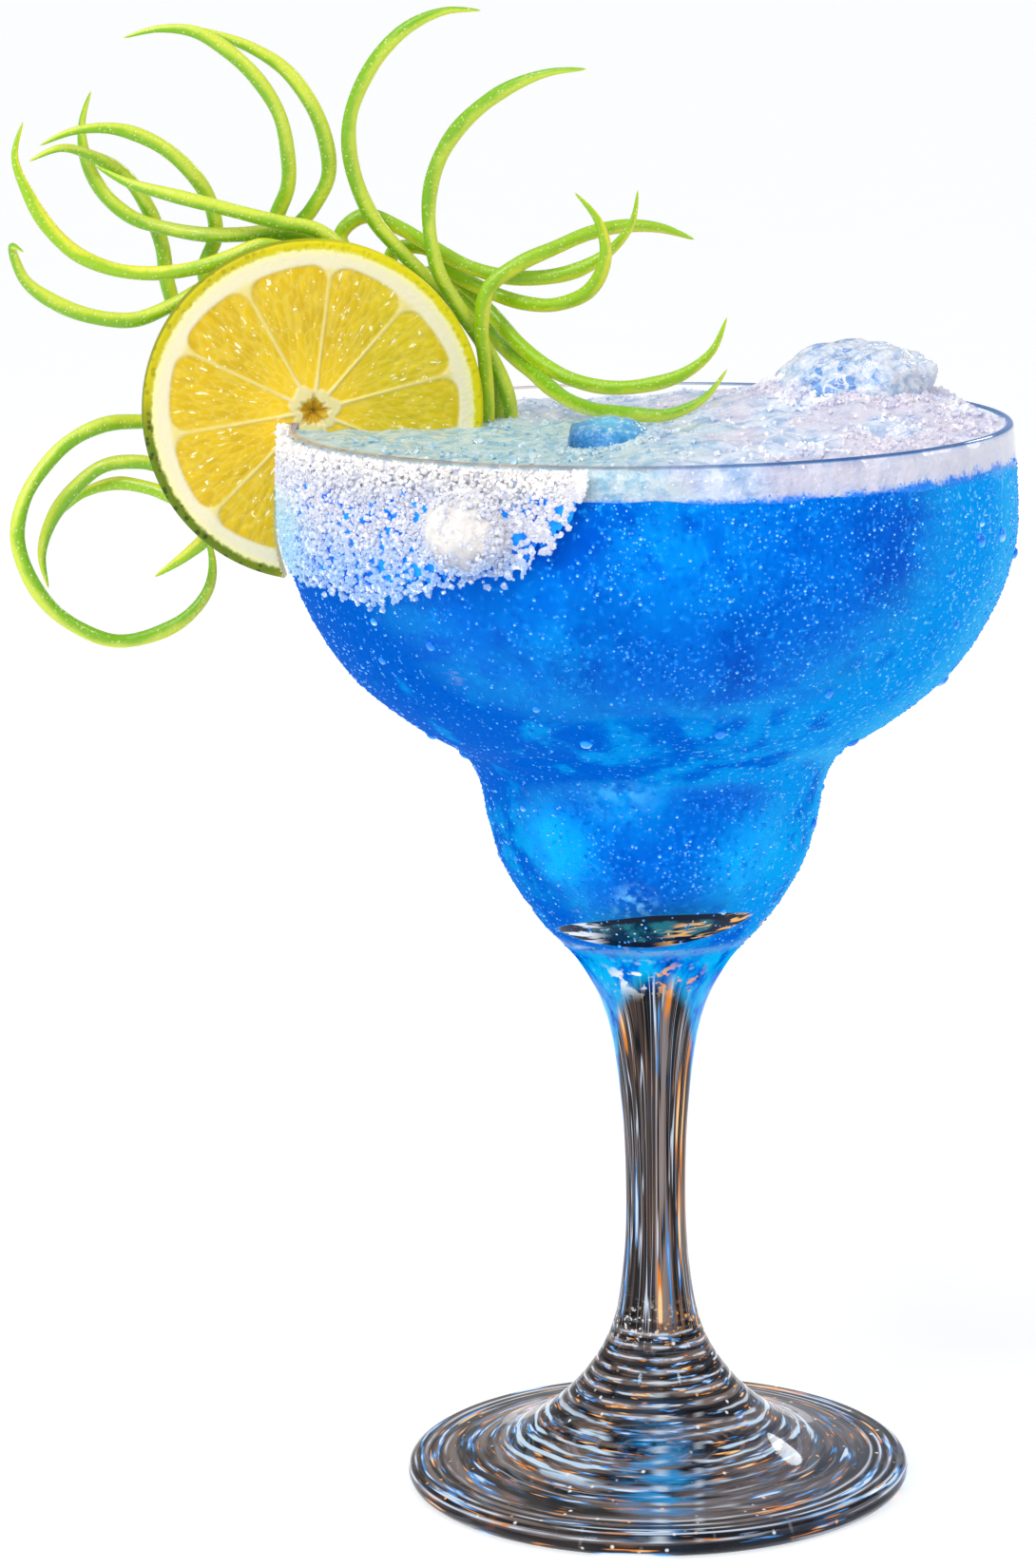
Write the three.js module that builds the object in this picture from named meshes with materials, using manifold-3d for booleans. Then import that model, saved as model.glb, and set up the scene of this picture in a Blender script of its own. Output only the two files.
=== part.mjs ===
// A blue frozen margarita in its stemmed coupe: clear glass, slushy blue drink, a cap of white crushed
// ice with two ice lumps, a salt crust on the outside of the rim, a citrus wheel slit over the rim and
// a nest of curled zest strips standing in the ice behind the wheel.
// Millimetres, +Z up. The origin is the centre of the foot, on the surface the glass stands on.
// The glass's axis is Z and the drink is looked at along +Y, so -Y is its front.
import * as THREE from "three";
import { mergeVertices } from "three/addons/utils/BufferGeometryUtils.js";
import Module from "manifold-3d";

const wasm = await Module();
wasm.setup();

// Driving dimensions.
const GLASS_HEIGHT = 168;
const RIM_RADIUS = 55.3;
const FOOT_RADIUS = 39.6;
const ROUND_STEPS = 40; // facets round the glass's axis
const GAP = 0.3; // clearance between neighbouring pieces
const ICE_FLOOR = 161.5; // where the white ice cap meets the blue drink
const ICE_EDGE = 167.2; // height of the ice cap at the wall

const WHEEL = { radius: 26, thickness: 4.8, x: -51.4, z: 170.2, turn: 8, skin: 1.2, pith: 2.7 };
const FLESH = { hub: 3.9, recess: 0.7, membrane: 0.7, corner: 2.6 };
const MEMBRANE_ANGLES = [14, 48, 82, 118, 153, 188, 224, 261, 299, 337]; // degrees round the wheel, 0 right
const CORE_HOLE = { points: 5, outer: 2.3, inner: 1.1 };

const CRUST = { from: 150, to: 261, top: 167.2, thickness: 1.25, edge: 0.4, columns: 38, rows: 6 };
const SALT_BALL = { radius: 6.1, x: -25.6, z: 158.6, squash: 0.92 };
const MOUND = { x: 31, y: 5, height: 6.2, spread: 15 };
const BIG_LUMP = { x: 31, y: 4, z: 172.6, size: [12, 9.2, 7.4] };
const BLUE_LUMP = { x: -5.2, y: -29, z: 168.2, size: [6.6, 6.2, 3.9] };

const ZEST_WIDTH = 2.3;
const ZEST_SIDES = 6;
const ZEST_STEP = 6; // spacing of the rings along a strip

const radians = (degrees) => (degrees * Math.PI) / 180;
const clamp01 = (x) => Math.min(1, Math.max(0, x));

// Three crossed sine waves: a smooth bumpy field between about -1 and 1.
const bumps = (x, y, z, size) =>
  (Math.sin((x + 0.6 * z) / size + 1.3) + Math.sin((y - 0.5 * x) / size + 4.1) + Math.sin((z + 0.7 * y) / size)) / 3;

// A closed geometry as a solid that can be cut and joined.
function solid(geometry) {
  const bare = geometry.clone();
  for (const name of Object.keys(bare.attributes)) {
    if (name !== "position") bare.deleteAttribute(name);
  }
  const merged = mergeVertices(bare, 1e-4);
  const vertProperties = new Float32Array(merged.attributes.position.array);
  const triVerts = new Uint32Array(merged.index.array);
  return new wasm.Manifold(new wasm.Mesh({ numProp: 3, vertProperties, triVerts }));
}

function geometryOf(cut) {
  const mesh = cut.getMesh();
  const positions = new Float32Array(mesh.numVert * 3);
  for (let i = 0; i < mesh.numVert; i++) {
    positions.set(mesh.vertProperties.subarray(i * mesh.numProp, i * mesh.numProp + 3), i * 3);
  }
  const geometry = new THREE.BufferGeometry();
  geometry.setAttribute("position", new THREE.BufferAttribute(positions, 3));
  geometry.setIndex(new THREE.BufferAttribute(new Uint32Array(mesh.triVerts), 1));
  geometry.computeVertexNormals();
  return geometry;
}

// The largest separate body of a cut solid, so that no loose sliver stays with it.
function mainBody(cut) {
  return cut.decompose().reduce((a, b) => (a.volume() > b.volume() ? a : b));
}

// A closed outline of [radius, height] pairs, turned round the Z axis.
function turned(outline, steps = ROUND_STEPS) {
  const profile = outline.map(([r, z]) => new THREE.Vector2(Math.max(r, 0), z));
  return new THREE.LatheGeometry(profile, steps).rotateX(Math.PI / 2);
}

// A grid of points closed on itself: rows of equal length, wrapped round, with both ends fanned shut.
function wrappedGrid(rows, start, end) {
  const columns = rows[0].length;
  const points = [start, ...rows.flat(), end];
  const faces = [];
  const at = (row, column) => 1 + row * columns + (column % columns);
  for (let c = 0; c < columns; c++) {
    faces.push(0, at(0, c + 1), at(0, c));
    faces.push(points.length - 1, at(rows.length - 1, c), at(rows.length - 1, c + 1));
    for (let r = 0; r + 1 < rows.length; r++) {
      faces.push(at(r, c), at(r, c + 1), at(r + 1, c + 1), at(r, c), at(r + 1, c + 1), at(r + 1, c));
    }
  }
  const geometry = new THREE.BufferGeometry();
  geometry.setAttribute("position", new THREE.Float32BufferAttribute(points.flat(), 3));
  geometry.setIndex(faces);
  return geometry;
}

// The glass's two skins as smooth curves of [radius, height].
const curveOf = (knots) => new THREE.SplineCurve(knots.map(([r, z]) => new THREE.Vector2(r, z)));

const outerSkin = curveOf([
  [36.2, 3.7],
  [27, 5.4],
  [18, 10.4],
  [11.4, 17],
  [7.0, 25],
  [5.1, 36],
  [4.7, 48],
  [5.3, 61],
  [7.3, 74.5],
  [11.6, 83.8],
  [18.2, 91.4],
  [23.2, 99.6],
  [25.5, 107],
  [26.8, 113.2],
  [30, 118.2],
  [37.6, 123],
  [46.4, 130.4],
  [52.6, 140],
  [55.6, 149],
  [55.9, 157],
  [RIM_RADIUS, GLASS_HEIGHT - 1],
]);

const innerSkin = curveOf([
  [RIM_RADIUS - 1.5, GLASS_HEIGHT - 1],
  [54.2, 157],
  [53.8, 149],
  [50.8, 140.6],
  [44.9, 131.9],
  [36.6, 124.9],
  [28.6, 119.9],
  [24.9, 114],
  [23.5, 107],
  [21.2, 100.6],
  [16.6, 94.2],
  [9.5, 90.3],
  [0, 89.2],
]);

const sampled = (skin, count) => skin.getPoints(count).map((p) => [p.x, p.y]);
const outerWall = sampled(outerSkin, 25); // from the foot up to the rim
const innerWall = sampled(innerSkin, 15); // from the rim down to the bottom of the bowl

// The radius of a wall at a height.
function radiusAt(wall, height) {
  const points = [...wall].sort((a, b) => a[1] - b[1]);
  const above = points.findIndex(([, z]) => z >= height);
  if (above <= 0) return points[above === 0 ? 0 : points.length - 1][0];
  const [[r0, z0], [r1, z1]] = [points[above - 1], points[above]];
  return r0 + ((r1 - r0) * (height - z0)) / (z1 - z0);
}

function glass() {
  const foot = [
    [0, 0],
    [FOOT_RADIUS - 2.2, 0],
    [FOOT_RADIUS - 0.5, 0.8],
    [FOOT_RADIUS, 1.9],
    [FOOT_RADIUS - 0.5, 3.1],
    [FOOT_RADIUS - 1.7, 3.7],
  ];
  const rimBead = [
    [RIM_RADIUS - 0.35, GLASS_HEIGHT - 0.2],
    [RIM_RADIUS - 0.75, GLASS_HEIGHT],
    [RIM_RADIUS - 1.15, GLASS_HEIGHT - 0.2],
  ];
  return turned([...foot, ...outerWall, ...rimBead, ...innerWall]);
}

// The inside of the bowl, brought in from the wall by the gap, from the bottom up.
const filling = innerWall
  .map(([r, z], i) => {
    const before = innerWall[Math.max(i - 1, 0)];
    const after = innerWall[Math.min(i + 1, innerWall.length - 1)];
    const run = new THREE.Vector2(after[0] - before[0], after[1] - before[1]).normalize();
    return i === innerWall.length - 1 ? [0, z + GAP] : [r + run.y * GAP, z - run.x * GAP];
  })
  .reverse();

function drink() {
  const level = ICE_FLOOR - GAP;
  const wall = filling.filter(([, z]) => z < level - 0.5);
  return turned([...wall, [radiusAt(filling, level), level], [0, level]]);
}

// Height of the white ice at a place: level near the rim, with a heap on the right and a rough skin.
function iceHeight(x, y) {
  const inward = clamp01(1 - Math.hypot(x, y) / RIM_RADIUS);
  const far = Math.hypot(x - MOUND.x, y - MOUND.y) / MOUND.spread;
  const heap = MOUND.height * Math.exp(-far * far * 1.1);
  const dip = y > 20 ? 0.04 * (y - 20) : 0;
  return ICE_EDGE + 2.2 * Math.min(inward * 3, 1) + heap * clamp01(inward * 5) - dip + 0.45 * bumps(x, y, 0, 3.1);
}

function iceCap() {
  const rings = 7;
  const radius = radiusAt(filling, ICE_EDGE - 1) - 0.05;
  const circle = (r, height) => {
    const ring = [];
    for (let i = 0; i < ROUND_STEPS; i++) {
      const angle = (2 * Math.PI * i) / ROUND_STEPS;
      const [x, y] = [r * Math.cos(angle), r * Math.sin(angle)];
      ring.push([x, y, height ?? iceHeight(x, y)]);
    }
    return ring;
  };
  const rows = [circle(radiusAt(filling, ICE_FLOOR), ICE_FLOOR)];
  for (let i = rings; i > 0; i--) rows.push(circle((radius * i) / rings));
  return wrappedGrid(rows, [0, 0, ICE_FLOOR], [0, 0, iceHeight(0, 0)]);
}

// An uneven lump of ice: a ball of flat facets, pushed in and out.
function lump({ x, y, z, size }, roughness, spare = 0, detail = 2) {
  const ball = mergeVertices(new THREE.IcosahedronGeometry(1, detail).deleteAttribute("normal").deleteAttribute("uv"));
  const points = ball.attributes.position;
  for (let i = 0; i < points.count; i++) {
    const p = new THREE.Vector3().fromBufferAttribute(points, i);
    const reach = 1 + roughness * bumps(p.x * 9 + x, p.y * 9 + y, p.z * 9, 2.1);
    const [a, b, c] = size.map((half) => half * reach + spare);
    points.setXYZ(i, x + p.x * a, y + p.y * b, z + p.z * c);
  }
  return ball;
}

// One strip of zest: a round-backed ribbon along a curve, pointed at its free end, with its root end blunt.
function zestStrip(points, spare = 0) {
  const route = new THREE.CatmullRomCurve3(points.map((p) => new THREE.Vector3(...p)), false, "centripetal");
  const steps = Math.max(6, Math.round(route.getLength() / ZEST_STEP));
  const frames = route.computeFrenetFrames(steps, false);
  const rows = [];
  const taperFrom = 0.8; // the last fifth thins to a point
  for (let i = 0; i < steps; i++) {
    const along = i / steps;
    const centre = route.getPointAt(along).addScaledVector(frames.tangents[i], i ? 0 : -spare);
    const thin = along < taperFrom ? 1 : Math.sqrt((1 - along) / (1 - taperFrom));
    const half = (ZEST_WIDTH / 2) * (thin * (0.94 + 0.06 * Math.sin(i * 1.7)) + (i === 0 ? -0.08 : 0)) + spare;
    const ring = [];
    for (let k = 0; k < ZEST_SIDES; k++) {
      const angle = (2 * Math.PI * k) / ZEST_SIDES;
      const offset = frames.normals[i].clone().multiplyScalar(Math.cos(angle) * half);
      offset.addScaledVector(frames.binormals[i], Math.sin(angle) * half * 0.86);
      ring.push(centre.clone().add(offset).toArray());
    }
    rows.push(ring);
  }
  const back = frames.tangents[0].clone().multiplyScalar(-0.2 - spare);
  const root = route.getPointAt(0).add(back).toArray();
  return wrappedGrid(rows, root, route.getPointAt(1).toArray());
}

// A pulp segment's outline: a wedge from the hub to the pith, with its outer corners rounded.
function segmentShape(index) {
  const from = MEMBRANE_ANGLES[index];
  const to = MEMBRANE_ANGLES[index + 1] ?? MEMBRANE_ANGLES[0] + 360;
  const middle = radians((from + to) / 2);
  const outer = WHEEL.radius - WHEEL.skin - WHEEL.pith;
  const half = radians((to - from) / 2);
  const edge = (r) => half - FLESH.membrane / 2 / r;
  const polar = (r, angle) => [r * Math.cos(middle + angle), r * Math.sin(middle + angle)];
  const shape = new THREE.Shape();
  const shoulder = outer - FLESH.corner;
  const corner = (FLESH.corner * 0.75) / outer;
  shape.moveTo(...polar(FLESH.hub, 0));
  shape.lineTo(...polar(FLESH.hub + 1.4, -edge(FLESH.hub + 1.4)));
  shape.lineTo(...polar(shoulder, -edge(shoulder)));
  shape.lineTo(...polar(outer - 0.4, -edge(outer) + corner));
  shape.lineTo(...polar(outer, 0));
  shape.lineTo(...polar(outer - 0.4, edge(outer) - corner));
  shape.lineTo(...polar(shoulder, edge(shoulder)));
  shape.lineTo(...polar(FLESH.hub + 1.4, edge(FLESH.hub + 1.4)));
  shape.closePath();
  return shape;
}

// Stands a disc drawn in XY, centred in its thickness, at the wheel's place: its face looks to -Y.
function standAtWheel(geometry) {
  geometry.rotateX(Math.PI / 2);
  geometry.rotateZ(radians(WHEEL.turn));
  return geometry.translate(WHEEL.x, 0, WHEEL.z);
}

function wheelDisc(spare = 0) {
  const bevel = 0.5;
  const half = WHEEL.thickness / 2 + spare;
  const edge = WHEEL.radius + spare;
  const outline = [[0, -half], [edge - bevel, -half], [edge, -half + bevel], [edge, half - bevel], [edge - bevel, half], [0, half]];
  return standAtWheel(turned(outline, 48));
}

function citrusWheel(slitOver) {
  const depth = WHEEL.thickness;
  let wheel = solid(wheelDisc());
  for (let i = 0; i < MEMBRANE_ANGLES.length; i++) {
    for (const side of [-1, 1]) {
      const pocket = new THREE.ExtrudeGeometry(segmentShape(i), { depth: 2, bevelEnabled: false });
      const inner = side * (depth / 2 - FLESH.recess);
      pocket.translate(0, 0, side > 0 ? inner : inner - 2);
      wheel = wheel.subtract(solid(standAtWheel(pocket)));
    }
  }
  const star = new THREE.Shape();
  for (let i = 0; i < CORE_HOLE.points * 2; i++) {
    const r = i % 2 ? CORE_HOLE.inner : CORE_HOLE.outer;
    const angle = (Math.PI * i) / CORE_HOLE.points;
    const [x, y] = [r * Math.cos(angle), r * Math.sin(angle)];
    if (i) star.lineTo(x, y);
    else star.moveTo(x, y);
  }
  const hole = new THREE.ExtrudeGeometry(star, { depth: depth + 2, bevelEnabled: false });
  hole.translate(0, 0, -depth / 2 - 1);
  return mainBody(wheel.subtract(solid(standAtWheel(hole))).subtract(slitOver));
}

// A ring round the bowl's wall from one offset inside it to another outside, over a range of heights.
function wallRing(inside, outside, low, high) {
  const rows = 5;
  const heights = Array.from({ length: rows + 1 }, (_, i) => low + ((high - low) * i) / rows);
  const outer = heights.map((z) => [radiusAt(outerWall, z) + outside, z]);
  const inner = heights.map((z) => [radiusAt(innerWall, z) - inside, z]).reverse();
  return turned([...outer, ...inner, outer[0]]);
}

// How far the salt reaches down from the rim, by the angle round the glass (180 left, 270 front).
const crustReach = new THREE.SplineCurve(
  [[150, 5], [166, 12], [185, 18.5], [205, 20.5], [224, 21.5], [238, 17.5], [250, 15.5], [257, 10], [261, 3]].map(
    ([angle, reach]) => new THREE.Vector2(angle, reach),
  ),
);

function saltCrust() {
  const { from, to, top, thickness, edge, columns, rows } = CRUST;
  const point = (i, j, skin) => {
    const place = crustReach.getPoint(i / columns);
    const angle = radians(place.x);
    const ragged = 1.1 * bumps(place.x * 1.7, place.y, 0, 2.3) + 0.5 * Math.sin(place.x * 1.9);
    const z = top - (place.y + ragged) * (j / rows);
    const fade = Math.min(i, columns - i, 4) / 4;
    const low = Math.min(rows - j, 3) / 3;
    const grain = 0.3 * bumps(place.x * 1.2, z, j, 0.9);
    const thick = edge + (thickness - edge + grain) * Math.min(fade, low);
    const r = radiusAt(outerWall, z) + GAP + 0.1 + (skin ? thick : 0);
    return [r * Math.cos(angle), r * Math.sin(angle), z];
  };
  const loop = (i) => {
    const ring = [];
    for (let j = 0; j <= rows; j++) ring.push(point(i, j, true));
    for (let j = rows; j >= 0; j--) ring.push(point(i, j, false));
    return ring;
  };
  const loops = Array.from({ length: columns + 1 }, (_, i) => loop(i));
  const middle = (ring) => [0, 1, 2].map((k) => ring.reduce((sum, p) => sum + p[k], 0) / ring.length);
  return wrappedGrid(loops, middle(loops[0]), middle(loops[columns]));
}

// The soft white ball of salt, resting against the crust: its back is flattened on it.
function saltBall() {
  const reach = RIM_RADIUS + 2.4;
  const y = -Math.sqrt(reach * reach - SALT_BALL.x * SALT_BALL.x);
  const size = [SALT_BALL.radius, SALT_BALL.radius * SALT_BALL.squash, SALT_BALL.radius];
  const ball = lump({ x: SALT_BALL.x, y, z: SALT_BALL.z, size }, 0.05, 0, 3);
  return mainBody(solid(ball).subtract(solid(wallRing(3, CRUST.thickness + 3 * GAP + 0.25, 145, 167.9))));
}

// The zest strips: routes from the root in the ice, up behind the wheel, out to the pointed free end.
const ZEST_ROUTES = {
  zest_top_arc_outer: [
    [-39, 12.5, 164], [-41, 12.5, 174], [-46, 12.5, 182], [-53, 12, 188.5], [-56, 12, 194],
    [-49.5, 10, 203], [-49, 8, 209.5], [-51, 6, 216], [-55, 5.5, 221.5], [-61.5, 5.5, 225.5],
    [-71.5, 6, 228.5],
  ],
  zest_top_arc_inner: [
    [-41.5, 9.5, 164], [-43.5, 9.5, 177], [-50, 9.5, 185], [-57, 10, 190.5], [-59, 10, 195.5],
    [-57, 9.5, 199], [-55, 7.5, 204], [-56.5, 3, 216.5], [-66, 1.5, 226.5], [-72.5, 1.5, 228],
    [-79.5, 2, 226.5],
  ],
  zest_left_upright: [
    [-39, 7.5, 164], [-41, 7, 182], [-46.5, 7.5, 192.5], [-54.5, 7, 196.5], [-61.5, 6.5, 196.5],
    [-67.5, 6.5, 196.5], [-74, 8, 197.5], [-80, 9, 199.5], [-84, 9, 203.5], [-86, 8.5, 208],
    [-86.5, 7.5, 212.5], [-84.5, 6, 219],
  ],
  zest_left_diagonal: [
    [-42, 5.5, 164], [-43, 5, 180], [-45, 5, 191], [-49, 4.5, 196.5], [-54.5, 4, 198],
    [-71, 3, 202.5], [-78.5, 3.5, 204.5], [-84.5, 4.5, 207.5],
  ],
  zest_arch_outer: [
    [-46.5, 9.5, 164], [-48, 9.5, 172], [-53, 9.5, 178.5], [-60, 9.5, 181.5], [-66, 9.5, 185],
    [-68.5, 9.5, 190], [-66.5, 9.5, 196], [-67, 8.5, 201], [-70.5, 6, 207], [-75.5, 4.5, 211],
    [-81.5, 3.5, 213], [-88, 2, 212.5], [-92.5, 0.5, 210.5],
  ],
  zest_arch_inner: [
    [-45.5, 12.5, 164], [-48.5, 12.5, 174], [-56, 12.5, 177.5], [-64, 12.5, 178.5], [-71, 12, 181.5],
    [-74, 11.5, 186.5], [-74.5, 11.5, 192.5], [-79, 10.5, 204], [-86.5, 4.5, 209.5], [-91, 3.5, 210],
    [-94.5, 2.5, 208],
  ],
  zest_left_sweep: [
    [-46.5, 4.5, 164], [-49, 4.5, 180], [-52, 4.5, 191], [-57, 4, 195], [-67.5, 3.5, 192],
    [-76, 3, 191], [-84, 2.5, 192.5], [-90.5, 3, 197], [-96.5, 5, 209], [-95, 6, 214.5],
  ],
  zest_curled_tip: [
    [-44.5, 7, 164], [-46.5, 7, 178], [-52.5, 7, 187], [-60, 6.5, 191], [-67, 5, 189], [-73, 4, 186],
    [-78.5, 2.5, 184], [-86, 1, 185], [-92, 0, 188], [-96, -0.5, 192], [-96.5, -1.5, 195.5],
    [-95, -3.5, 197], [-94, -5.5, 195],
  ],
  zest_tall_left: [
    [-23.5, 13, 164], [-24, 13, 172], [-27.5, 13, 182], [-33, 10, 188], [-42.5, 9, 199],
    [-45, 8, 206], [-45.5, 6, 212.5], [-42.5, 4, 220.5], [-37, 3, 227], [-30.5, 3, 230],
    [-24.5, 4, 230],
  ],
  zest_tall_right: [
    [-21.5, 10.5, 164], [-22, 10.5, 171.5], [-26, 10.5, 179.5], [-32, 7, 190], [-33.5, 6, 198.5],
    [-32.5, 4, 205.5], [-29, 1, 212], [-22, -2, 218], [-14.5, -4, 221], [-8.5, -5, 221.5],
  ],
  zest_right_arch: [
    [-25, 8, 164], [-25, 8, 172], [-25.5, 8, 185.5], [-23, 8, 189.5], [-16, 9, 193], [-8, 12, 196],
    [0, 15, 196.5], [7.5, 17, 194],
  ],
  zest_right_sweep: [
    [-34.5, 12.5, 164], [-37, 12.5, 178], [-43, 12.5, 189.5], [-47.5, 12, 194.5], [-46, 12, 198.5],
    [-41, 12, 198], [-27, 11.5, 190.5], [-19.5, 11, 189], [-11.5, 10.5, 190], [-5.5, 10, 193.5],
    [-2.5, 9, 197.5], [-1.5, 8, 203],
  ],
  zest_right_hook: [
    [-32, 15.5, 164], [-35, 15.5, 178], [-39.5, 15.5, 188], [-39.5, 15.5, 193], [-35.5, 15, 194],
    [-30, 14.5, 189.5], [-22.5, 12.5, 186], [-15, 8.5, 185], [-8.5, 5.5, 188], [-6.5, 4, 193],
    [-7.5, 3.5, 198], [-11.5, 3, 203],
  ],
  zest_low_upper: [
    [-29.5, 18, 164], [-33, 18, 177], [-36.5, 18, 186], [-35.5, 18, 190], [-31.5, 17.5, 189],
    [-26.5, 16, 185.5], [-21, 12, 179.5], [-13.5, 6, 174.5], [-4.5, 1, 173], [5.5, -2, 175.5],
    [10, -3, 179.5], [12, -3, 184.5],
  ],
  zest_low_lower: [
    [-26, 20.5, 164], [-29, 20.5, 175], [-33, 21, 183], [-31.5, 21, 187], [-28, 19.5, 184.5],
    [-24, 17, 179], [-18.5, 9.5, 175], [-12, -3, 171.5], [-4.5, -15, 171], [4, -20, 171.5],
    [8.5, -21, 174], [12, -21, 178.5],
  ],
  zest_ring_outer: [
    [-50.5, 12.5, 164], [-51, 12.5, 169.5], [-54, 12, 172.5], [-58.5, 12, 172.5], [-64, 12, 169.5],
    [-71, 11, 167.5], [-78.5, 10, 167.5], [-83.5, 8, 167.5], [-89.5, 6, 165], [-95, 3.5, 159],
    [-97.5, 1.5, 152.5], [-96, 1, 145], [-91.5, 2, 138.5], [-82.5, 4, 134], [-72, 6, 137.5],
    [-68, 8, 144], [-69.5, 9.5, 150], [-71.5, 10, 152.5],
  ],
  zest_ring_middle: [
    [-50.5, 9.5, 164], [-51, 9.5, 170], [-54.5, 9.5, 173], [-59, 9.5, 171.5], [-66, 9.5, 162],
    [-71.5, 9, 160], [-81.5, 9, 161.5], [-87, 8.5, 159.5], [-94, 7.5, 150.5], [-94.5, 7, 145.5],
    [-93.5, 6.5, 141.5],
  ],
  zest_ring_inner: [
    [-50, 7, 164], [-50.5, 7, 170.5], [-54, 7, 174], [-59, 7, 172.5], [-64, 7, 158.5],
    [-68.5, 7, 155], [-79.5, 10, 157.5], [-85, 11.5, 157.5], [-90, 12.5, 155], [-93, 12.5, 152],
  ],
  zest_spike: [
    [-50.5, 4, 164], [-50.5, 4, 169.5], [-53.5, 4, 173], [-57.5, 4, 172], [-61.5, 3.5, 160],
    [-68, 3, 150.5], [-77, 2.5, 144],
  ],
};

const LOOKS = {
  glass: { color: 0xf4f8fb, roughness: 0.03, metalness: 0, transparent: true, opacity: 0.35 },
  drink: { color: 0x0a7de0, roughness: 0.3, metalness: 0 },
  ice: { color: 0xe9f0f8, roughness: 0.55, metalness: 0 },
  blueIce: { color: 0x1f8fd8, roughness: 0.15, metalness: 0 },
  salt: { color: 0xf3f1f1, roughness: 0.8, metalness: 0 },
  citrus: { color: 0xe6cf3c, roughness: 0.4, metalness: 0 },
  zest: { color: 0x9ccb1c, roughness: 0.45, metalness: 0 },
};

const margarita = new THREE.Group();

function add(name, geometry, looks) {
  const mesh = new THREE.Mesh(geometry, new THREE.MeshStandardMaterial(LOOKS[looks]));
  mesh.name = name;
  margarita.add(mesh);
}

const wheelRoom = solid(wheelDisc(GAP + 0.05));
const slit = solid(wallRing(GAP + 0.1, CRUST.thickness + 4 * GAP + 0.1, 138, GLASS_HEIGHT + GAP + 0.2));

let ice = solid(iceCap()).subtract(wheelRoom);
ice = ice.subtract(solid(lump(BIG_LUMP, 0.16, GAP + 0.05))).subtract(solid(lump(BLUE_LUMP, 0.07, GAP + 0.05)));
for (const route of Object.values(ZEST_ROUTES)) ice = ice.subtract(solid(zestStrip(route, GAP + 0.05)));

add("glass", glass(), "glass");
add("drink", geometryOf(mainBody(solid(drink()).subtract(wheelRoom))), "drink");
add("ice_cap", geometryOf(mainBody(ice)), "ice");
add("ice_lump_white", lump(BIG_LUMP, 0.16), "ice");
add("ice_lump_blue", lump(BLUE_LUMP, 0.07), "blueIce");
add("salt_crust", saltCrust(), "salt");
add("salt_ball", geometryOf(saltBall()), "salt");
add("citrus_wheel", geometryOf(citrusWheel(slit)), "citrus");
for (const [name, route] of Object.entries(ZEST_ROUTES)) add(name, zestStrip(route), "zest");

export default margarita;
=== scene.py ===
# %% [markdown]
# # A blue frozen margarita
# A stemmed coupe is filled with blue slush and capped with crushed ice. Salt crusts the outside of its
# rim, a citrus wheel is slit over the wall, and curls of zest stand in the ice behind the wheel.
# The solids of each piece come from the frame. They carry the sizes. Here each one gets a finer skin and
# a finish. Blender works in metres, but a glass is easier to think of in millimetres, so every shape
# below is worked out in millimetres and scaled once, when it becomes a mesh.

# %% Load the frame
import math

import bpy
import numpy as np
from mathutils import Matrix, Vector


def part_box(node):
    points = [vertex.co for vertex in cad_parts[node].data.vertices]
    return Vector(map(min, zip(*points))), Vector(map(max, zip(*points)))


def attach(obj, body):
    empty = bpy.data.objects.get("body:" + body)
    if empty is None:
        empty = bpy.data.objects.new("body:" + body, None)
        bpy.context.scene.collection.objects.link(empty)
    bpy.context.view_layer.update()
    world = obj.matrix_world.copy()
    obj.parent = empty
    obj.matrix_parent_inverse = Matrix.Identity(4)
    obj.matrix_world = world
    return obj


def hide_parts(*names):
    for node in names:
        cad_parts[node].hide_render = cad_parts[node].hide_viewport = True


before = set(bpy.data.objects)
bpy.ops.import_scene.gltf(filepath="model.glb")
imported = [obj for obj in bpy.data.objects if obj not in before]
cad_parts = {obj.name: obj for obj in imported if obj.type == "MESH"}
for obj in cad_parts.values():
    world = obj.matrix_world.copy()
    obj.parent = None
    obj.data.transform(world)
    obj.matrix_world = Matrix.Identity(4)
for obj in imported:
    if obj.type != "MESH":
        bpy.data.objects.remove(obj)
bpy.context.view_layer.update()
MM = 0.001
chance = np.random.default_rng(11)
RIM_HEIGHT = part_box("glass")[1].z / MM

# %% [markdown]
# ## The camera
# The photograph was taken from about three quarters of a metre away, a little above the rim, with the
# glass right of the middle. A long lens keeps the upright lines nearly parallel. The direction is given
# by the point that sits in the middle of the picture, and the small roll makes the glass lean as it does
# in the photograph.

# %% Camera
EYE = np.array([5.1, -737.5, 254.4])
AIM = np.array([-20.8, 0.0, 111.8])
ROLL_DEGREES = 0.76
LENS, SENSOR = 111.5, 36


def make_camera():
    """It looks along its own -Z, so its axes are: back = eye - aim, right = up x back, up = back x right."""
    back = Vector(EYE - AIM).normalized()
    right = Vector((0, 0, 1)).cross(back).normalized()
    data = bpy.data.cameras.new("camera")
    data.lens, data.sensor_width = LENS, SENSOR
    camera = bpy.data.objects.new("camera", data)
    bpy.context.scene.collection.objects.link(camera)
    level = Matrix((right, back.cross(right), back)).transposed()
    turned = level @ Matrix.Rotation(math.radians(-ROLL_DEGREES), 3, "Z")
    camera.matrix_world = Matrix.Translation(Vector(EYE * MM)) @ turned.to_4x4()
    bpy.context.scene.camera = camera
    return camera


print("camera turned", [round(math.degrees(a), 2) for a in make_camera().rotation_euler])

# %% [markdown]
# ## From arrays to meshes
# Almost everything here is a skin swept out by rings of points: a profile turned round an axis, or a
# section carried along a path. So one helper joins rings into faces, and another puts the arrays into a
# mesh in one go, which is far quicker than adding vertices one at a time. The second one also checks the
# skin's signed volume: it is positive when the faces point outwards.

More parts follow.
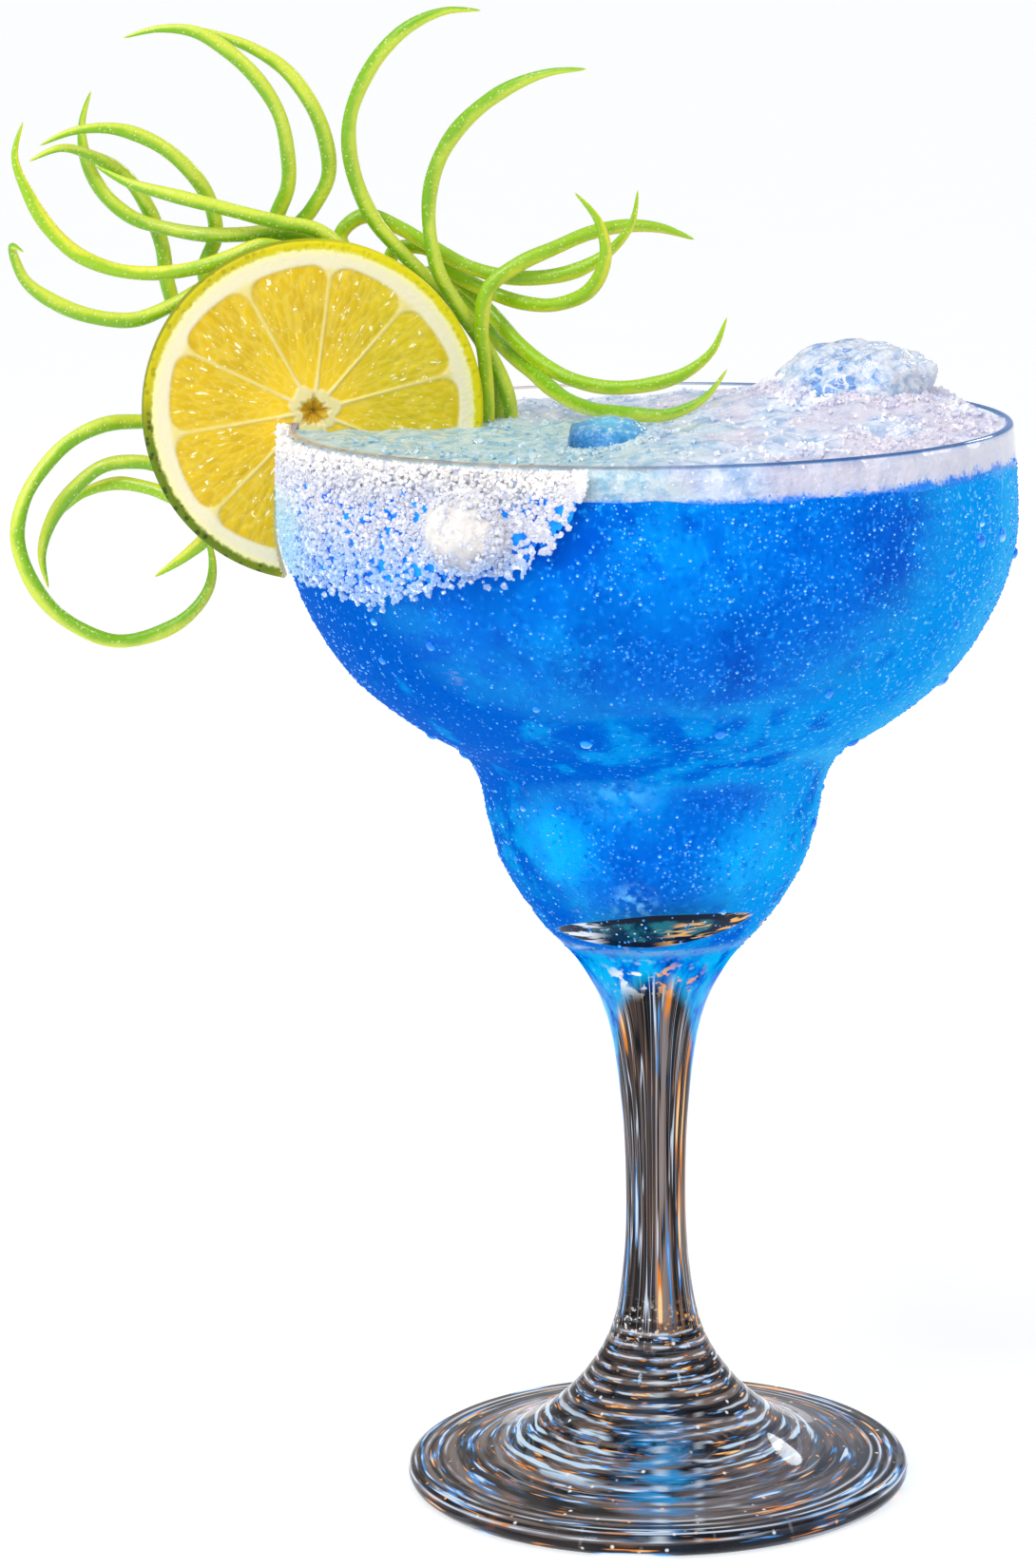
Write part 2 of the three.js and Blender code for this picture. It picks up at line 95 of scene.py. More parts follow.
# %% Rings into faces, arrays into meshes
def circle(count):
    """Angles once round, evenly spaced."""
    return np.linspace(0, 2 * np.pi, count, endpoint=False)


def polar_points(radius, angle, height):
    """Points at (radius x cos, radius x sin, height)."""
    return np.stack(np.broadcast_arrays(radius * np.cos(angle), radius * np.sin(angle), height), -1)


def unit(vectors):
    """Vectors divided by their lengths."""
    return vectors / np.linalg.norm(vectors, axis=-1, keepdims=True)


def box_mm(node):
    """The low and the high corner of a solid's box, in millimetres."""
    return [np.array(corner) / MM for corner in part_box(node)]


def loft(rings, start=None, end=None):
    """Neighbouring rings are joined by four-sided faces. A start and an end point close the ends with fans.
    Without them the last ring is joined to the first, as in a tyre."""
    count, sides = rings.shape[:2]
    index = np.arange(count * sides).reshape(count, sides)
    if start is None:
        index = np.vstack([index, index[:1]])
    beside = np.roll(index, -1, axis=1)
    faces = [np.stack([index[:-1], beside[:-1], beside[1:], index[1:]], -1).reshape(-1, 4)]
    points = rings.reshape(-1, 3)
    if start is not None:
        first, last = np.full(sides, count * sides), np.full(sides, count * sides + 1)
        faces.append(np.stack([first, beside[0], index[0]], -1))
        faces.append(np.stack([last, index[-1], beside[-1]], -1))
        points = np.vstack([points, start, end])
    return points, faces


def signed_volume(points, faces):
    """A sixth of the sum, over the faces cut into triangles, of a . (b x c)."""
    total = 0.0
    for group in faces:
        a = points[group[:, 0]]
        for k in range(1, group.shape[1] - 1):
            total += (a * np.cross(points[group[:, k]], points[group[:, k + 1]])).sum() / 6
    return total


def put_in_scene(name, points, faces, smooth=True, **fields):
    """Makes a mesh object of points in millimetres. Each further keyword is a value stored at the points."""
    if signed_volume(points, faces) < 0:
        faces = [group[:, ::-1] for group in faces]
    mesh = bpy.data.meshes.new(name)
    sizes = np.concatenate([np.full(len(group), group.shape[1]) for group in faces])
    mesh.vertices.add(len(points))
    mesh.vertices.foreach_set("co", (points * MM).astype(np.float32).ravel())
    corners = np.concatenate([group.ravel() for group in faces])
    mesh.loops.add(len(corners))
    mesh.loops.foreach_set("vertex_index", corners.astype(np.int32))
    mesh.polygons.add(len(sizes))
    mesh.polygons.foreach_set("loop_start", np.concatenate([[0], np.cumsum(sizes)[:-1]]).astype(np.int32))
    mesh.polygons.foreach_set("use_smooth", np.full(len(sizes), smooth))
    mesh.update(calc_edges=True)
    for field, values in fields.items():
        kind, slot = ("FLOAT_VECTOR", "vector") if values.ndim == 2 else ("FLOAT", "value")
        stored = mesh.attributes.new(field, kind, "POINT")
        stored.data.foreach_set(slot, values.astype(np.float32).ravel())
    piece = bpy.data.objects.new(name, mesh)
    bpy.context.scene.collection.objects.link(piece)
    return piece


def settle(piece, finish, slot, *nodes):
    """Gives a piece its material, its place on the part's one body and the nodes that it stands for."""
    piece.data.materials.clear()
    piece.data.materials.append(finish)
    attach(piece, "root")
    if nodes:
        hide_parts(*nodes)
    print(f"{piece.name}: {len(piece.data.polygons)} faces")

# %% [markdown]
# ## Shader maths that reads like maths
# A material is a graph of nodes, and a graph is hard to read in code. `Value` wraps one output socket and
# answers to +, -, * and /, each of which adds a Math node, so a pattern can be written as an expression.
# `Finish` is a material under construction. Its `node` method adds any other node, and its `coats` method
# lays one colour after another over a tone, as a painter would.

# %% Value and Finish
def operator(operation, value_first=True):
    """A method that adds a Math node for a value and another value or number, in this order or the other."""

    def method(self, other=0.0):
        return self.finish.maths(operation, *((self, other) if value_first else (other, self)))

    return method


class Value:
    """One output socket of a finish, usable in sums."""

    def __init__(self, finish, socket):
        self.finish, self.socket = finish, socket

    __add__ = __radd__ = operator("ADD")
    __sub__, __rsub__ = operator("SUBTRACT"), operator("SUBTRACT", False)
    __mul__ = __rmul__ = operator("MULTIPLY")
    __truediv__, __pow__, __abs__ = operator("DIVIDE"), operator("POWER"), operator("ABSOLUTE")

    def step(self, low, high):
        """0 below low and 1 above high, with a smooth slope between. With low above high it falls instead."""
        if low > high:
            return 1 - self.step(high, low)
        return self.finish.node(
            "ShaderNodeMapRange", {"interpolation_type": "SMOOTHSTEP"},
            {"Value": self, "From Min": low, "From Max": high},
        )

    def ridge(self, width):
        """Thin lines where a noise passes through its middle value."""
        return abs(self - 0.5).step(width, 0)


WHITE, BLACK = (255, 255, 255), (0, 0, 0)


def linear(colour):
    """A colour as picked on a screen, 0 to 255, made into the linear light that shaders reckon in. A value
    stays as it is, and so does a colour of four numbers, which is linear already."""
    if isinstance(colour, Value) or len(colour) == 4:
        return colour
    share = np.array(colour) / 255
    return (*np.where(share < 0.04045, share / 12.92, ((share + 0.055) / 1.055) ** 2.4), 1.0)


class Finish:
    """A material built node by node. Its place is the Object coordinate in millimetres."""

    def __init__(self, name):
        self.material = bpy.data.materials.new(name)
        self.material.use_nodes = True
        self.material.node_tree.nodes.clear()
        here = self.node("ShaderNodeTexCoord", output="Object")
        self.place = self.node("ShaderNodeVectorMath", {"operation": "SCALE"}, {0: here, "Scale": 1 / MM})

    def node(self, kind, settings=None, sockets=None, output=0):
        """Adds a node: its settings first, then a value or a link for each socket named or numbered."""
        made = self.material.node_tree.nodes.new(kind)
        for key, value in (settings or {}).items():
            setattr(made, key, value)
        for key, value in (sockets or {}).items():
            if isinstance(value, Value):
                self.material.node_tree.links.new(value.socket, made.inputs[key])
            else:
                made.inputs[key].default_value = value
        return Value(self, made.outputs[output]) if len(made.outputs) else made

    def maths(self, operation, first, second=0.0):
        return self.node("ShaderNodeMath", {"operation": operation}, {0: first, 1: second})

    def axes(self, vector=None):
        """The three numbers of a vector, or of the place."""
        apart = self.node("ShaderNodeSeparateXYZ", None, {0: vector or self.place}).socket.node
        return [Value(self, apart.outputs[k]) for k in range(3)]

    def vector(self, x, y, z):
        return self.node("ShaderNodeCombineXYZ", None, {0: x, 1: y, 2: z})

    def stored(self, field, output="Fac"):
        """What is stored at the piece's points: a number, or a vector with output Vector."""
        return self.node("ShaderNodeAttribute", {"attribute_name": field}, output=output)

    def noise(self, size, detail=2.0, at=None, roughness=0.5):
        """Cloudy noise from 0 to 1, with blotches about size millimetres across."""
        return self.node(
            "ShaderNodeTexNoise", None,
            {"Vector": at or self.place, "Scale": 1 / size, "Detail": detail, "Roughness": roughness},
        )

    def cells(self, size, feature="F1", output="Distance"):
        """Distance to the nearest of scattered points that lie about size millimetres apart."""
        return self.node(
            "ShaderNodeTexVoronoi", {"feature": feature}, {"Vector": self.place, "Scale": 1 / size}, output
        )

    def coats(self, tone, *coats):
        """Lays coats over a tone one by one. Each is a colour and a share: 0 hides the coat, 1 the tone."""
        for colour, share in coats:
            sockets = {0: share, 6: linear(tone), 7: linear(colour)}
            tone = self.node("ShaderNodeMix", {"data_type": "RGBA"}, sockets, output=2)
        return tone

    def bump(self, height, depth, strength=1.0):
        """Tilts the surface as if it rose depth millimetres where height is 1."""
        sockets = {"Height": height, "Distance": depth * MM, "Strength": strength}
        return self.node("ShaderNodeBump", None, sockets)

    def near(self, place, centre, reach):
        """1 at the centre and 0 from reach onwards, for values and their centre given axis by axis."""
        away = [value - middle for value, middle in zip(place, centre)]
        return (sum(part * part for part in away) ** 0.5).step(reach, 0)

    def body(self, colour, roughness, sockets=None, glow=None, scatter=None):
        """A Principled body. Glow is the colour given out and its strength. Scatter is the share of the light
        that wanders inside, how far red, green and blue do, and a length in metres that scales all three."""
        sockets = {"Base Color": colour, "Roughness": roughness, **(sockets or {})}
        sockets.update(zip(("Emission Color", "Emission Strength"), glow or ()))
        sockets.update(zip(("Subsurface Weight", "Subsurface Radius", "Subsurface Scale"), scatter or ()))
        return self.node("ShaderNodeBsdfPrincipled", None, sockets)

    def mix(self, first, second, share):
        return self.node("ShaderNodeMixShader", None, {0: share, 1: first, 2: second})

    def done(self, shader):
        self.node("ShaderNodeOutputMaterial", None, {"Surface": shader})
        return self.material

    def clear_to_lamps(self, shader):
        """Clear things throw almost no shadow: a lamp's rays pass straight on, and the eye's still bend."""
        path = self.node("ShaderNodeLightPath", output="Is Shadow Ray")
        open_air = self.node("ShaderNodeBsdfTransparent", None, {0: (0.94, 0.97, 1.0, 1.0)})
        return self.mix(shader, open_air, path)

# %% [markdown]
# ## The glass
# A coupe like this is blown and pulled, so it is round, and a turned profile is the right way to make it.
# The outside and the inside are two curves. Each is a smooth line through a few knots of radius and
# height: foot, stem, the small lower cup, the waist and the wide upper bowl.

# %% The glass's profile
RIM_RADIUS = 55.3
FOOT_RADIUS = 39.6
OUTER_KNOTS = [
    (36.2, 3.7), (27, 5.4), (18, 10.4), (11.4, 17), (7, 25), (5.1, 36), (4.7, 48), (5.3, 61), (7.3, 74.5),
    (11.6, 83.8), (18.2, 91.4), (23.2, 99.6), (25.5, 107), (26.8, 113.2), (30, 118.2), (37.6, 123),
    (46.4, 130.4), (52.6, 140), (55.6, 149), (55.9, 157), (RIM_RADIUS, RIM_HEIGHT - 1),
]
INNER_KNOTS = [
    (RIM_RADIUS - 1.5, RIM_HEIGHT - 1), (54.2, 157), (53.8, 149), (50.8, 140.6), (44.9, 131.9), (36.6, 124.9),
    (28.6, 119.9), (24.9, 114), (23.5, 107), (21.2, 100.6), (16.6, 94.2), (9.5, 90.3), (0, 89.2),
]


def smooth_path(knots, count):
    """A Catmull-Rom curve: a cubic between two knots that leaves each in the direction of its neighbours."""
    knots = np.asarray(knots, float)
    along = np.linspace(0, len(knots) - 1, count)
    left = np.minimum(along.astype(int), len(knots) - 2)
    s = (along - left)[:, None]
    p0, p1, p2, p3 = (knots[np.clip(left + k, 0, len(knots) - 1)] for k in (-1, 0, 1, 2))
    slope, curl = 2 * p0 - 5 * p1 + 4 * p2 - p3, 3 * p1 - p0 - 3 * p2 + p3
    return 0.5 * (2 * p1 + (p2 - p0) * s + slope * s**2 + curl * s**3)


outer_wall = smooth_path(OUTER_KNOTS, 150)
inner_wall = smooth_path(INNER_KNOTS, 90)


def wall_radius(wall, height):
    """The wall's radius at each height, read off its curve."""
    order = np.argsort(wall[:, 1])
    return np.interp(height, wall[order, 1], wall[order, 0])


def turned(profile, sides):
    """Rings of a profile of (radius, height) turned round the Z axis."""
    return polar_points(profile[:, :1], circle(sides), profile[:, 1:])


bowl_radius, stem_radius = outer_wall[:, 0].max(), wall_radius(outer_wall, np.arange(30, 60)).min()
print("widest", round(bowl_radius * 2, 1), "mm; stem", round(stem_radius * 2, 1), "mm")

# %% [markdown]
# The foot's underside is slightly hollow, as a blown foot is, so the glass stands on a ring. The edges of
# foot and rim are fire-polished: half circles.

# %% The glass's skin
FOOT_HOLLOW, FOOT_RING = 1.4, 7
FOOT_EDGE, RIM_EDGE = 1.9, 0.75


def half_circle(centre, radius, start, stop, count=7):
    """Points on an arc from one angle to another, in degrees from the outward direction."""
    angle = np.radians(np.linspace(start, stop, count))
    return np.stack([centre[0] + radius * np.cos(angle), centre[1] + radius * np.sin(angle)], -1)


under = np.linspace(0.02, 1, 16)[:, None] * [FOOT_RADIUS - FOOT_RING, 0]
under[:, 1] = FOOT_HOLLOW * (1 - (under[:, 0] / under[-1, 0]) ** 2) ** 2
foot_edge = half_circle((FOOT_RADIUS - FOOT_EDGE, FOOT_EDGE), FOOT_EDGE, -90, 75)
rim_edge = half_circle((RIM_RADIUS - RIM_EDGE, RIM_HEIGHT - RIM_EDGE), RIM_EDGE, 0, 180)
profile = np.vstack([under, foot_edge, outer_wall, rim_edge, inner_wall[:-1]])
coupe = put_in_scene("coupe", *loft(turned(profile, 160), (0, 0, FOOT_HOLLOW), (0, 0, inner_wall[-1, 1])))

# %% [markdown]
# Clear glass has no colour of its own. The bowl only bends what lies behind it, so it is a plain refracting
# finish. The stem and the foot are solid glass. They act as lenses that gather the dark room and its lamps
# into streaks, so those streaks are laid over the lower glass: upright lines in the stem, rings in the
# flare and the foot, and small sparks of warm and cold light. Each pattern is noise read in turned
# coordinates, the direction round the axis and the way uphill, so it runs round the glass unbroken.

# %% Lines in the stem, rings in the foot
glass = Finish("clear_glass")
x, y, z = glass.axes()
radius = (x * x + y * y) ** 0.5
to_x, to_y = x / (radius + 0.01), y / (radius + 0.01)
in_foot = (z + radius * 0.15).step(29, 25)
uphill = z * 1.6 - radius


def stem_noise(shift, around, along=0.014, detail=2):
    return glass.noise(1, detail, glass.vector(to_x * around + shift, to_y * around, z * along))


def foot_noise(shift, around, along, detail=2):
    return glass.noise(1, detail, glass.vector(to_x * around + shift, to_y * around, uphill * along))


def either(stem, foot):
    return stem * (1 - in_foot) + foot * in_foot


broad = stem_noise(0, 2.9)
stem_tone = glass.coats(
    (8, 7, 7),
    ((70, 58, 53), broad.step(0.42, 0.48)),
    ((150, 136, 132), broad.step(0.56, 0.61)),
    ((14, 14, 20), x.step(0.5, 3.2) * 0.55),
    ((160, 124, 98), stem_noise(37, 6.5).ridge(0.016)),
    ((2, 2, 4), stem_noise(5, 5.5).ridge(0.045)),
    ((214, 226, 246), stem_noise(11, 4.6).ridge(0.017)),
)

on_disc = radius.step(13, 17)
hazy = foot_noise(0, 1.1, 0.2) + on_disc * (foot_noise(61, 2.4, 0.7, 3) - 0.5) * 0.5
swing = (foot_noise(7, 1.3, 0.15) - 0.5) * (3 + on_disc * 12)
waves = glass.maths("SINE", uphill * 1.75 + swing)
broken = foot_noise(13, 2.6, 0.35).step(0.4, 0.55)
shown = 1 - on_disc * (0.97 - y.step(-2, -16) * 0.4 * foot_noise(51, 2.0, 0.4).step(0.42, 0.55))
hem = radius.step(32.6, 34.4)
hem_waves = glass.maths("SINE", (radius - z * 0.7) * 3.9 + (foot_noise(41, 1.1, 0.1) - 0.5) * 3)
foot_tone = glass.coats(
    (16, 14, 15),
    ((122, 107, 100), hazy.step(0.42, 0.6)),
    ((84, 88, 106), x.step(4, 20) * 0.5),
    ((8, 7, 9), waves.step(0.0, -0.6) * shown * 0.92),
    ((224, 228, 240), waves.step(0.72, 0.95) * broken * shown),
    ((10, 9, 12), hem_waves.step(0.1, -0.5) * hem * 0.92),
    ((216, 228, 246), hem_waves.step(0.55, 0.9) * hem * broken),
)

# %% [markdown]
# The glints come on top: orange where a warm lamp is caught, blue where the drink's light runs down the
# solid glass, each with a white heart, and tiny stars in the foot. At the stem's top the drink shines
# through the edges, which the layer weight finds, because it grows where the surface turns away. Bright
# arcs hug the flare, and a pool of blue lies in the foot's front.

# %% Glints, blue edges and the pool of light
def glints(pattern, start, edge_colour, heart):
    """Two coats where a pattern rises above start: a coloured one and, higher up, its bright heart."""
    edge_share, heart_share = pattern.step(start, start + 0.045), pattern.step(start + 0.055, start + 0.09)
    return (edge_colour, edge_share), (heart, heart_share)


warm = either(stem_noise(17, 4.6, 0.03), foot_noise(17, 3.0, 0.95))
cold = either(stem_noise(23, 4.4, 0.04) - 0.03, foot_noise(23, 2.6, 0.8) - 0.01)
arcs = foot_noise(29, 1.4, 0.5, 3).step(0.45, 0.55) * in_foot
hugging = glass.near((radius,), (20,), 8) * abs(x).step(5, 11)
pool = glass.near((x * 0.9, y * 0.6), (0.5, -14.5), 8.5) * in_foot
pool = pool * foot_noise(3, 3.0, 0.4, 3).step(0.36, 0.56)
upright = glass.near((x,), (0.5,), 2.0) * 0.6 + glass.near((x,), (6.5,), 1.2) * 0.4
star_tone = glass.coats(WHITE, ((255, 190, 110), glass.noise(8, 1).step(0.5, 0.55)))
turned_away = glass.node("ShaderNodeLayerWeight", None, {"Blend": 0.5}, output="Facing")
lower_tone = glass.coats(
    stem_tone,
    (foot_tone, in_foot),
    *glints(warm, 0.63, (236, 138, 40), (255, 226, 168)),
    *glints(cold, 0.6, (62, 148, 228), (222, 240, 255)),
    ((206, 232, 255), arcs * hugging.step(0.1, 0.5) * waves.step(0.1, 0.6)),
    ((36, 160, 232), pool * 0.9),
    ((232, 244, 255), upright * y.step(-5, -10) * in_foot * waves.step(0.0, 0.6) * 0.85),
    (star_tone, glass.cells(2.8).step(0.15, 0.05) * in_foot),
    ((130, 158, 214), turned_away.step(0.8, 0.94) * (1 - in_foot) * x.step(6, -4) * 0.6),
)

# %% [markdown]
# Above the stem the drink lights the glass: first along the flanks, which turn away, then all of it. Small
# sparkles sit at the stem's top and at its foot, white at the left and warm at the right.

# %% The drink's light at the stem's top
STEM_TOP, STEM_FOOT = 83.6, 26.4
cloudy = glass.noise(1, 3, glass.vector(to_x * 4, to_y * 4, z * 0.25), 0.6)
lit = glass.coats(
    (0, 112, 226),
    ((10, 182, 250), cloudy.step(0.36, 0.58)),
    ((214, 240, 255), cloudy.step(0.67, 0.74)),
    ((4, 30, 66), cloudy.step(0.34, 0.28) * 0.8),
)
flank = (turned_away + z.step(56, 85) * 0.6).step(0.8, 0.98) * z.step(55, 68)
above = (z + (stem_noise(31, 3.0, 0.2) - 0.5) * 6).step(83, 86)
in_bowl = glass.maths("MAXIMUM", flank, above)
sparkle = glass.noise(1, 2, glass.vector(to_x * 5, to_y * 5, z * 0.5), 0.6).step(0.52, 0.6)
sparkle = sparkle * glass.near((z,), (STEM_TOP,), 4.8) * turned_away.step(0.6, 0.35)
sparkle = sparkle + glass.noise(0.9, 2).step(0.58, 0.64) * glass.near((z,), (STEM_FOOT,), 4.5)
spark_tone = glass.coats(WHITE, ((255, 182, 92), (x + glass.noise(3, 1) * 4).step(1, 3)))

# %% [markdown]
# At the drink's bottom the inside of the bowl ends in a round hollow. Seen through the thick glass it is a
# dark-edged eye, pointed at both ends, with sparks at its right. It is laid on the glass as a pointed oval
# in (arc, height), three times round the bowl, so that any side shows one.

# %% The hollow's dark eye
HOLLOW_HEIGHT, HOLLOW_LONG, HOLLOW_HIGH = 92.5, 17.5, 3.0
THIRD = 2 * math.pi / 3
turn = glass.maths("ARCTAN2", y, x)
arc = (glass.maths("FLOORED_MODULO", turn + (math.pi / 2 + THIRD / 2), THIRD) - THIRD / 2) * radius
lift = z - HOLLOW_HEIGHT - arc * 0.075
oval = sum((part * part) ** 0.72 for part in (arc / HOLLOW_LONG, lift / HOLLOW_HIGH))
sparks = glass.noise(1, 2, glass.vector(arc * 0.16, lift * 1.1, 3), 0.6).step(0.5, 0.58)
eye_tone = glass.coats(
    (8, 44, 66),
    ((40, 120, 136), glass.noise(3, 3).step(0.42, 0.62)),
    ((220, 240, 255), glass.cells(1.2).step(0.2, 0.07)),
    ((12, 10, 12), (oval + (glass.noise(2.5, 2) - 0.5) * 0.4).step(0.42, 0.6)),
    ((255, 190, 104), sparks * arc.step(-1, 5) * lift.step(1.6, 0.4)),
    ((240, 246, 255), sparks * arc.step(-6, -11)),
)
in_eye = oval.step(1.05, 0.93)

# %% [markdown]
# The rim catches a thin painted line of light, golden over the salt and blue on the right. Where the bowl
# turns away, the drink's colour is painted on the wall up to its outline and given out as light, with
# painted brighter light at the very edge and in the small cup. A Mix Shader lays all of this over the clear
# glass, and nowhere else does it cover the view into the bowl. The painted bodies are mixed with each other
# first, those of the stem and foot apart from those of the bowl. So one share decides between clear and
# painted glass, and a ray can skip the patterns that don't show where it hits.

# %% The finished glass
rim_line = z.step(RIM_HEIGHT - 0.6, RIM_HEIGHT - 0.25)
rim_tone = glass.coats((176, 136, 92), ((20, 92, 160), (x + glass.noise(9, 2) * 20).step(-8, 18)))
filled = z.step(86, 90) * (z + (glass.noise(4, 2) - 0.5) * 3).step(163.2, 161.4)
bowl_edge = turned_away.step(0.22, 0.52) * filled * (1 - in_eye)
speckled = glass.noise(0.8, 3) + x * 0.001
# Painted on the turned-away wall: the drink's colour, with painted light at the very edge and in the small
# cup.
edge_tone = glass.coats(
    (0, 100, 216),
    ((6, 150, 242), (glass.noise(7, 4) + x * 0.005).step(0.42, 0.62)),
    ((44, 178, 246), (turned_away + x * 0.004).step(0.78, 1.0) * 0.8),
    ((4, 172, 250), glass.near((z,), (104,), 11) * glass.noise(5, 3).step(0.36, 0.56) * 0.8),
    ((0, 84, 196), speckled.step(0.42, 0.3) * 0.6),
    ((130, 212, 250), speckled.step(0.62, 0.72) * 0.7),
)
lower_tone = glass.coats(lower_tone, (spark_tone, sparkle))
bowl_tone = glass.coats(
    lit, (spark_tone, sparkle), (eye_tone, in_eye), (rim_tone, rim_line), (edge_tone, bowl_edge)
)

under_drink = z.step(89.5, 86.5)
laid_on = under_drink * 0.95 - in_foot * 0.07 + in_eye * 0.95 + rim_line * (0.55 + x.step(0, 25) * 0.35)
no_shine = glass.maths("MAXIMUM", bowl_edge * 0.97, z.step(78, 84) * under_drink)
shiny = glass.maths("MINIMUM", laid_on, 1)
cover = shiny + no_shine - shiny * no_shine
matt_share = no_shine / glass.maths("MAXIMUM", cover, 0.001)


def painted_glass(tone):
    """Glass that shows a painted tone: shiny, and matt where the drink fills the wall."""
    shiny_sockets = {"IOR": 1.45, "Specular IOR Level": 0.14, "Specular Tint": (0.6, 0.8, 1.0, 1.0)}
    streaked = glass.body((0, 0, 0, 1), 0.05, shiny_sockets, glow=(tone, 0.96))
    matt = glass.body((0, 0, 0, 1), 0.5, {"Specular IOR Level": 0.0}, glow=(tone, 1.0))
    return glass.mix(streaked, matt, matt_share)


clear = glass.body((1, 1, 1, 1), 0.05, {
    "IOR": 1.25, "Transmission Weight": 1.0, "Specular Tint": (0.1, 0.45, 1.0, 1.0),
})
painted = glass.mix(painted_glass(lower_tone), painted_glass(bowl_tone), in_bowl)
glass_finish = glass.done(glass.clear_to_lamps(glass.mix(clear, painted, cover)))
settle(coupe, glass_finish, "glass", "glass")

# %% [markdown]
# ## The blue slush
# The drink fills the bowl to just under the white ice. Its skin reaches a hair into the glass, so that no
# film of air lies between them: such a film would shine like a mirror.

# %% Slush shape
INTO_WALL = 0.12
ICE_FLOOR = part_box("ice_cap")[0].z / MM
SLUSH_LEVEL = ICE_FLOOR + 2.6
SLUSH_BOTTOM, SLUSH_SIDE = 90.2, 90.6  # where its rounded bottom ends and where its side begins

bottom = np.stack([np.linspace(0.6, 1, 8) * wall_radius(inner_wall, SLUSH_BOTTOM), np.zeros(8)], -1)
bottom[:, 1] = np.interp(bottom[:, 0], inner_wall[::-1, 0], inner_wall[::-1, 1]) - 0.05
height = np.linspace(SLUSH_SIDE, SLUSH_LEVEL, 90)
side = np.stack([wall_radius(inner_wall, height) + INTO_WALL, height], -1)
side[-1, 0] -= 1.5
rings = turned(np.vstack([bottom, side]), 128)
slush_piece = put_in_scene("blue_slush", *loft(rings, (0, 0, bottom[0, 1]), (0, 0, SLUSH_LEVEL)))

# %% [markdown]
# Slush is ice grains in blue liquor. The light that lamps shine into it from all sides is painted: part of
# its colour is given out as light, a painted glow. It is deepest in the middle and painted paler where light
# gathers: at the wide bowl's edges, at the waist and in two pools low in the small cup. Its grains show as
# fine light and dark specks, thickest on the right.

# %% Slush finish
slush = Finish("blue_slush")
x, y, z = slush.axes()


def lights(*spots):
    """A sum of soft round lights, each given as (x, height, reach, strength)."""
    return sum(slush.near((x, z), spot[:2], spot[2]) * spot[3] for spot in spots)


# Painted light: soft spots and paler edges where light gathers.
glow = lights((-18, 104, 14, 1.3), (18, 102, 14, 1.3), (4, 157, 18, 0.5), (-3, 116, 11, 1.2),
              (-14, 141, 14, 0.5))
edge = x.step(34, 54) + z.step(97, 90) + z.step(117, 122) * z.step(135, 124) * 0.5
glow = (glow + edge * 0.8) * slush.noise(6, 4).step(0.3, 0.58)
pools = lights((-17, 105, 12, 1), (17, 102, 12, 1))
grain = slush.noise(0.9, 3)
grainy = (slush.noise(9, 3) + x * 0.005).step(0.42, 0.66)
frost_line = z + (slush.noise(1.2, 3) - 0.5) * 3 + (slush.noise(12, 1) - 0.5) * 2
azure = slush.coats(
    (0, 80, 184),
    ((0, 107, 206), slush.noise(15, 4).step(0.36, 0.54)),
    ((4, 164, 236), glow),
    ((2, 186, 252), pools * slush.noise(5, 4).step(0.32, 0.56) * 0.85),
    ((80, 196, 250), slush.near((x, z), (-4, 117), 8) * slush.noise(2.2, 3).step(0.4, 0.62)),
    ((120, 206, 250), slush.near((x, z), (-3, 97), 5) * slush.noise(1.6, 3).step(0.45, 0.65)),
    ((0, 72, 178), grain.step(0.42, 0.32) * 0.5),
    ((30, 160, 240), grain.step(0.57, 0.68) * 0.55),
    ((0, 66, 168), slush.cells(1.3).step(0.3, 0.12) * grainy * 0.6),
    ((120, 206, 246), slush.cells(0.75).step(0.26, 0.1) * grainy * 0.8),
    ((196, 208, 230), frost_line.step(163.2, 164.4)),
)
slush_finish = slush.done(slush.body(azure, 0.6, {"Specular IOR Level": 0.0}, glow=(azure, 0.3)))
settle(slush_piece, slush_finish, "drink", "drink")

# %% [markdown]
# ## Crushed ice on top
# The white cap is a heap of wet crushed ice: level at the wall, a little crowned, with a mound on the
# right. A height field does this well: one height for each place. Sums of sine waves at falling sizes give
# it a rough skin, with the finest grain left to the finish.

# %% Ice cap
MOUND = dict(x=32, y=7, height=4.8, spread=15)
blue_low, blue_high = box_mm("ice_lump_blue")
BLUE_SIDE = (blue_high[0] - 1, blue_low[1] + 2)  # where the ice laps over the blue lump's right side


def ripples(x, y, sizes, seed):
    """A sum of crossed sine waves of the given lengths in millimetres, each weighted by its length."""
    draw = np.random.default_rng(seed)
    total = 0 * x
    for size in sizes:
        for _ in range(4):
            turn, shift = draw.uniform(0, 2 * np.pi, 2)
            total = total + size * np.sin((x * np.cos(turn) + y * np.sin(turn)) * 2 * np.pi / size + shift)
    return total / (4 * sum(sizes))


def ice_height(x, y):
    """Level at the wall, 2 mm crowned but flatter on the left, plus a bell-shaped mound, a small one beside
    it and a lap over the blue lump, less a dip at the back."""
    inward = np.clip(1 - np.hypot(x, y) / RIM_RADIUS, 0, 1)
    flat = np.clip(0.6 - x / 14, 0, 1)
    bell = np.exp(-1.1 * ((x - MOUND["x"]) ** 2 + (y - MOUND["y"]) ** 2) / MOUND["spread"] ** 2)
    crown = (2.2 - 2.1 * flat) * np.minimum(inward * 3, 1)
    crown = crown + MOUND["height"] * bell * np.clip(inward * 5, 0, 1)
    crown = crown + 2.6 * np.exp(-((x - 17.5) ** 2 + (y - 3) ** 2) / 36)
    crown = crown + 1.6 * np.exp(-((x - BLUE_SIDE[0]) ** 2 / 16 + (y - BLUE_SIDE[1]) ** 2 / 50))
    rough = (1.3 + 0.5 * np.clip(x / 20, 0, 1)) * ripples(x, y, [11, 6, 3.4, 2, 1.3], 3)
    return RIM_HEIGHT - 0.9 + crown - 0.04 * np.maximum(y - 20, 0) + rough


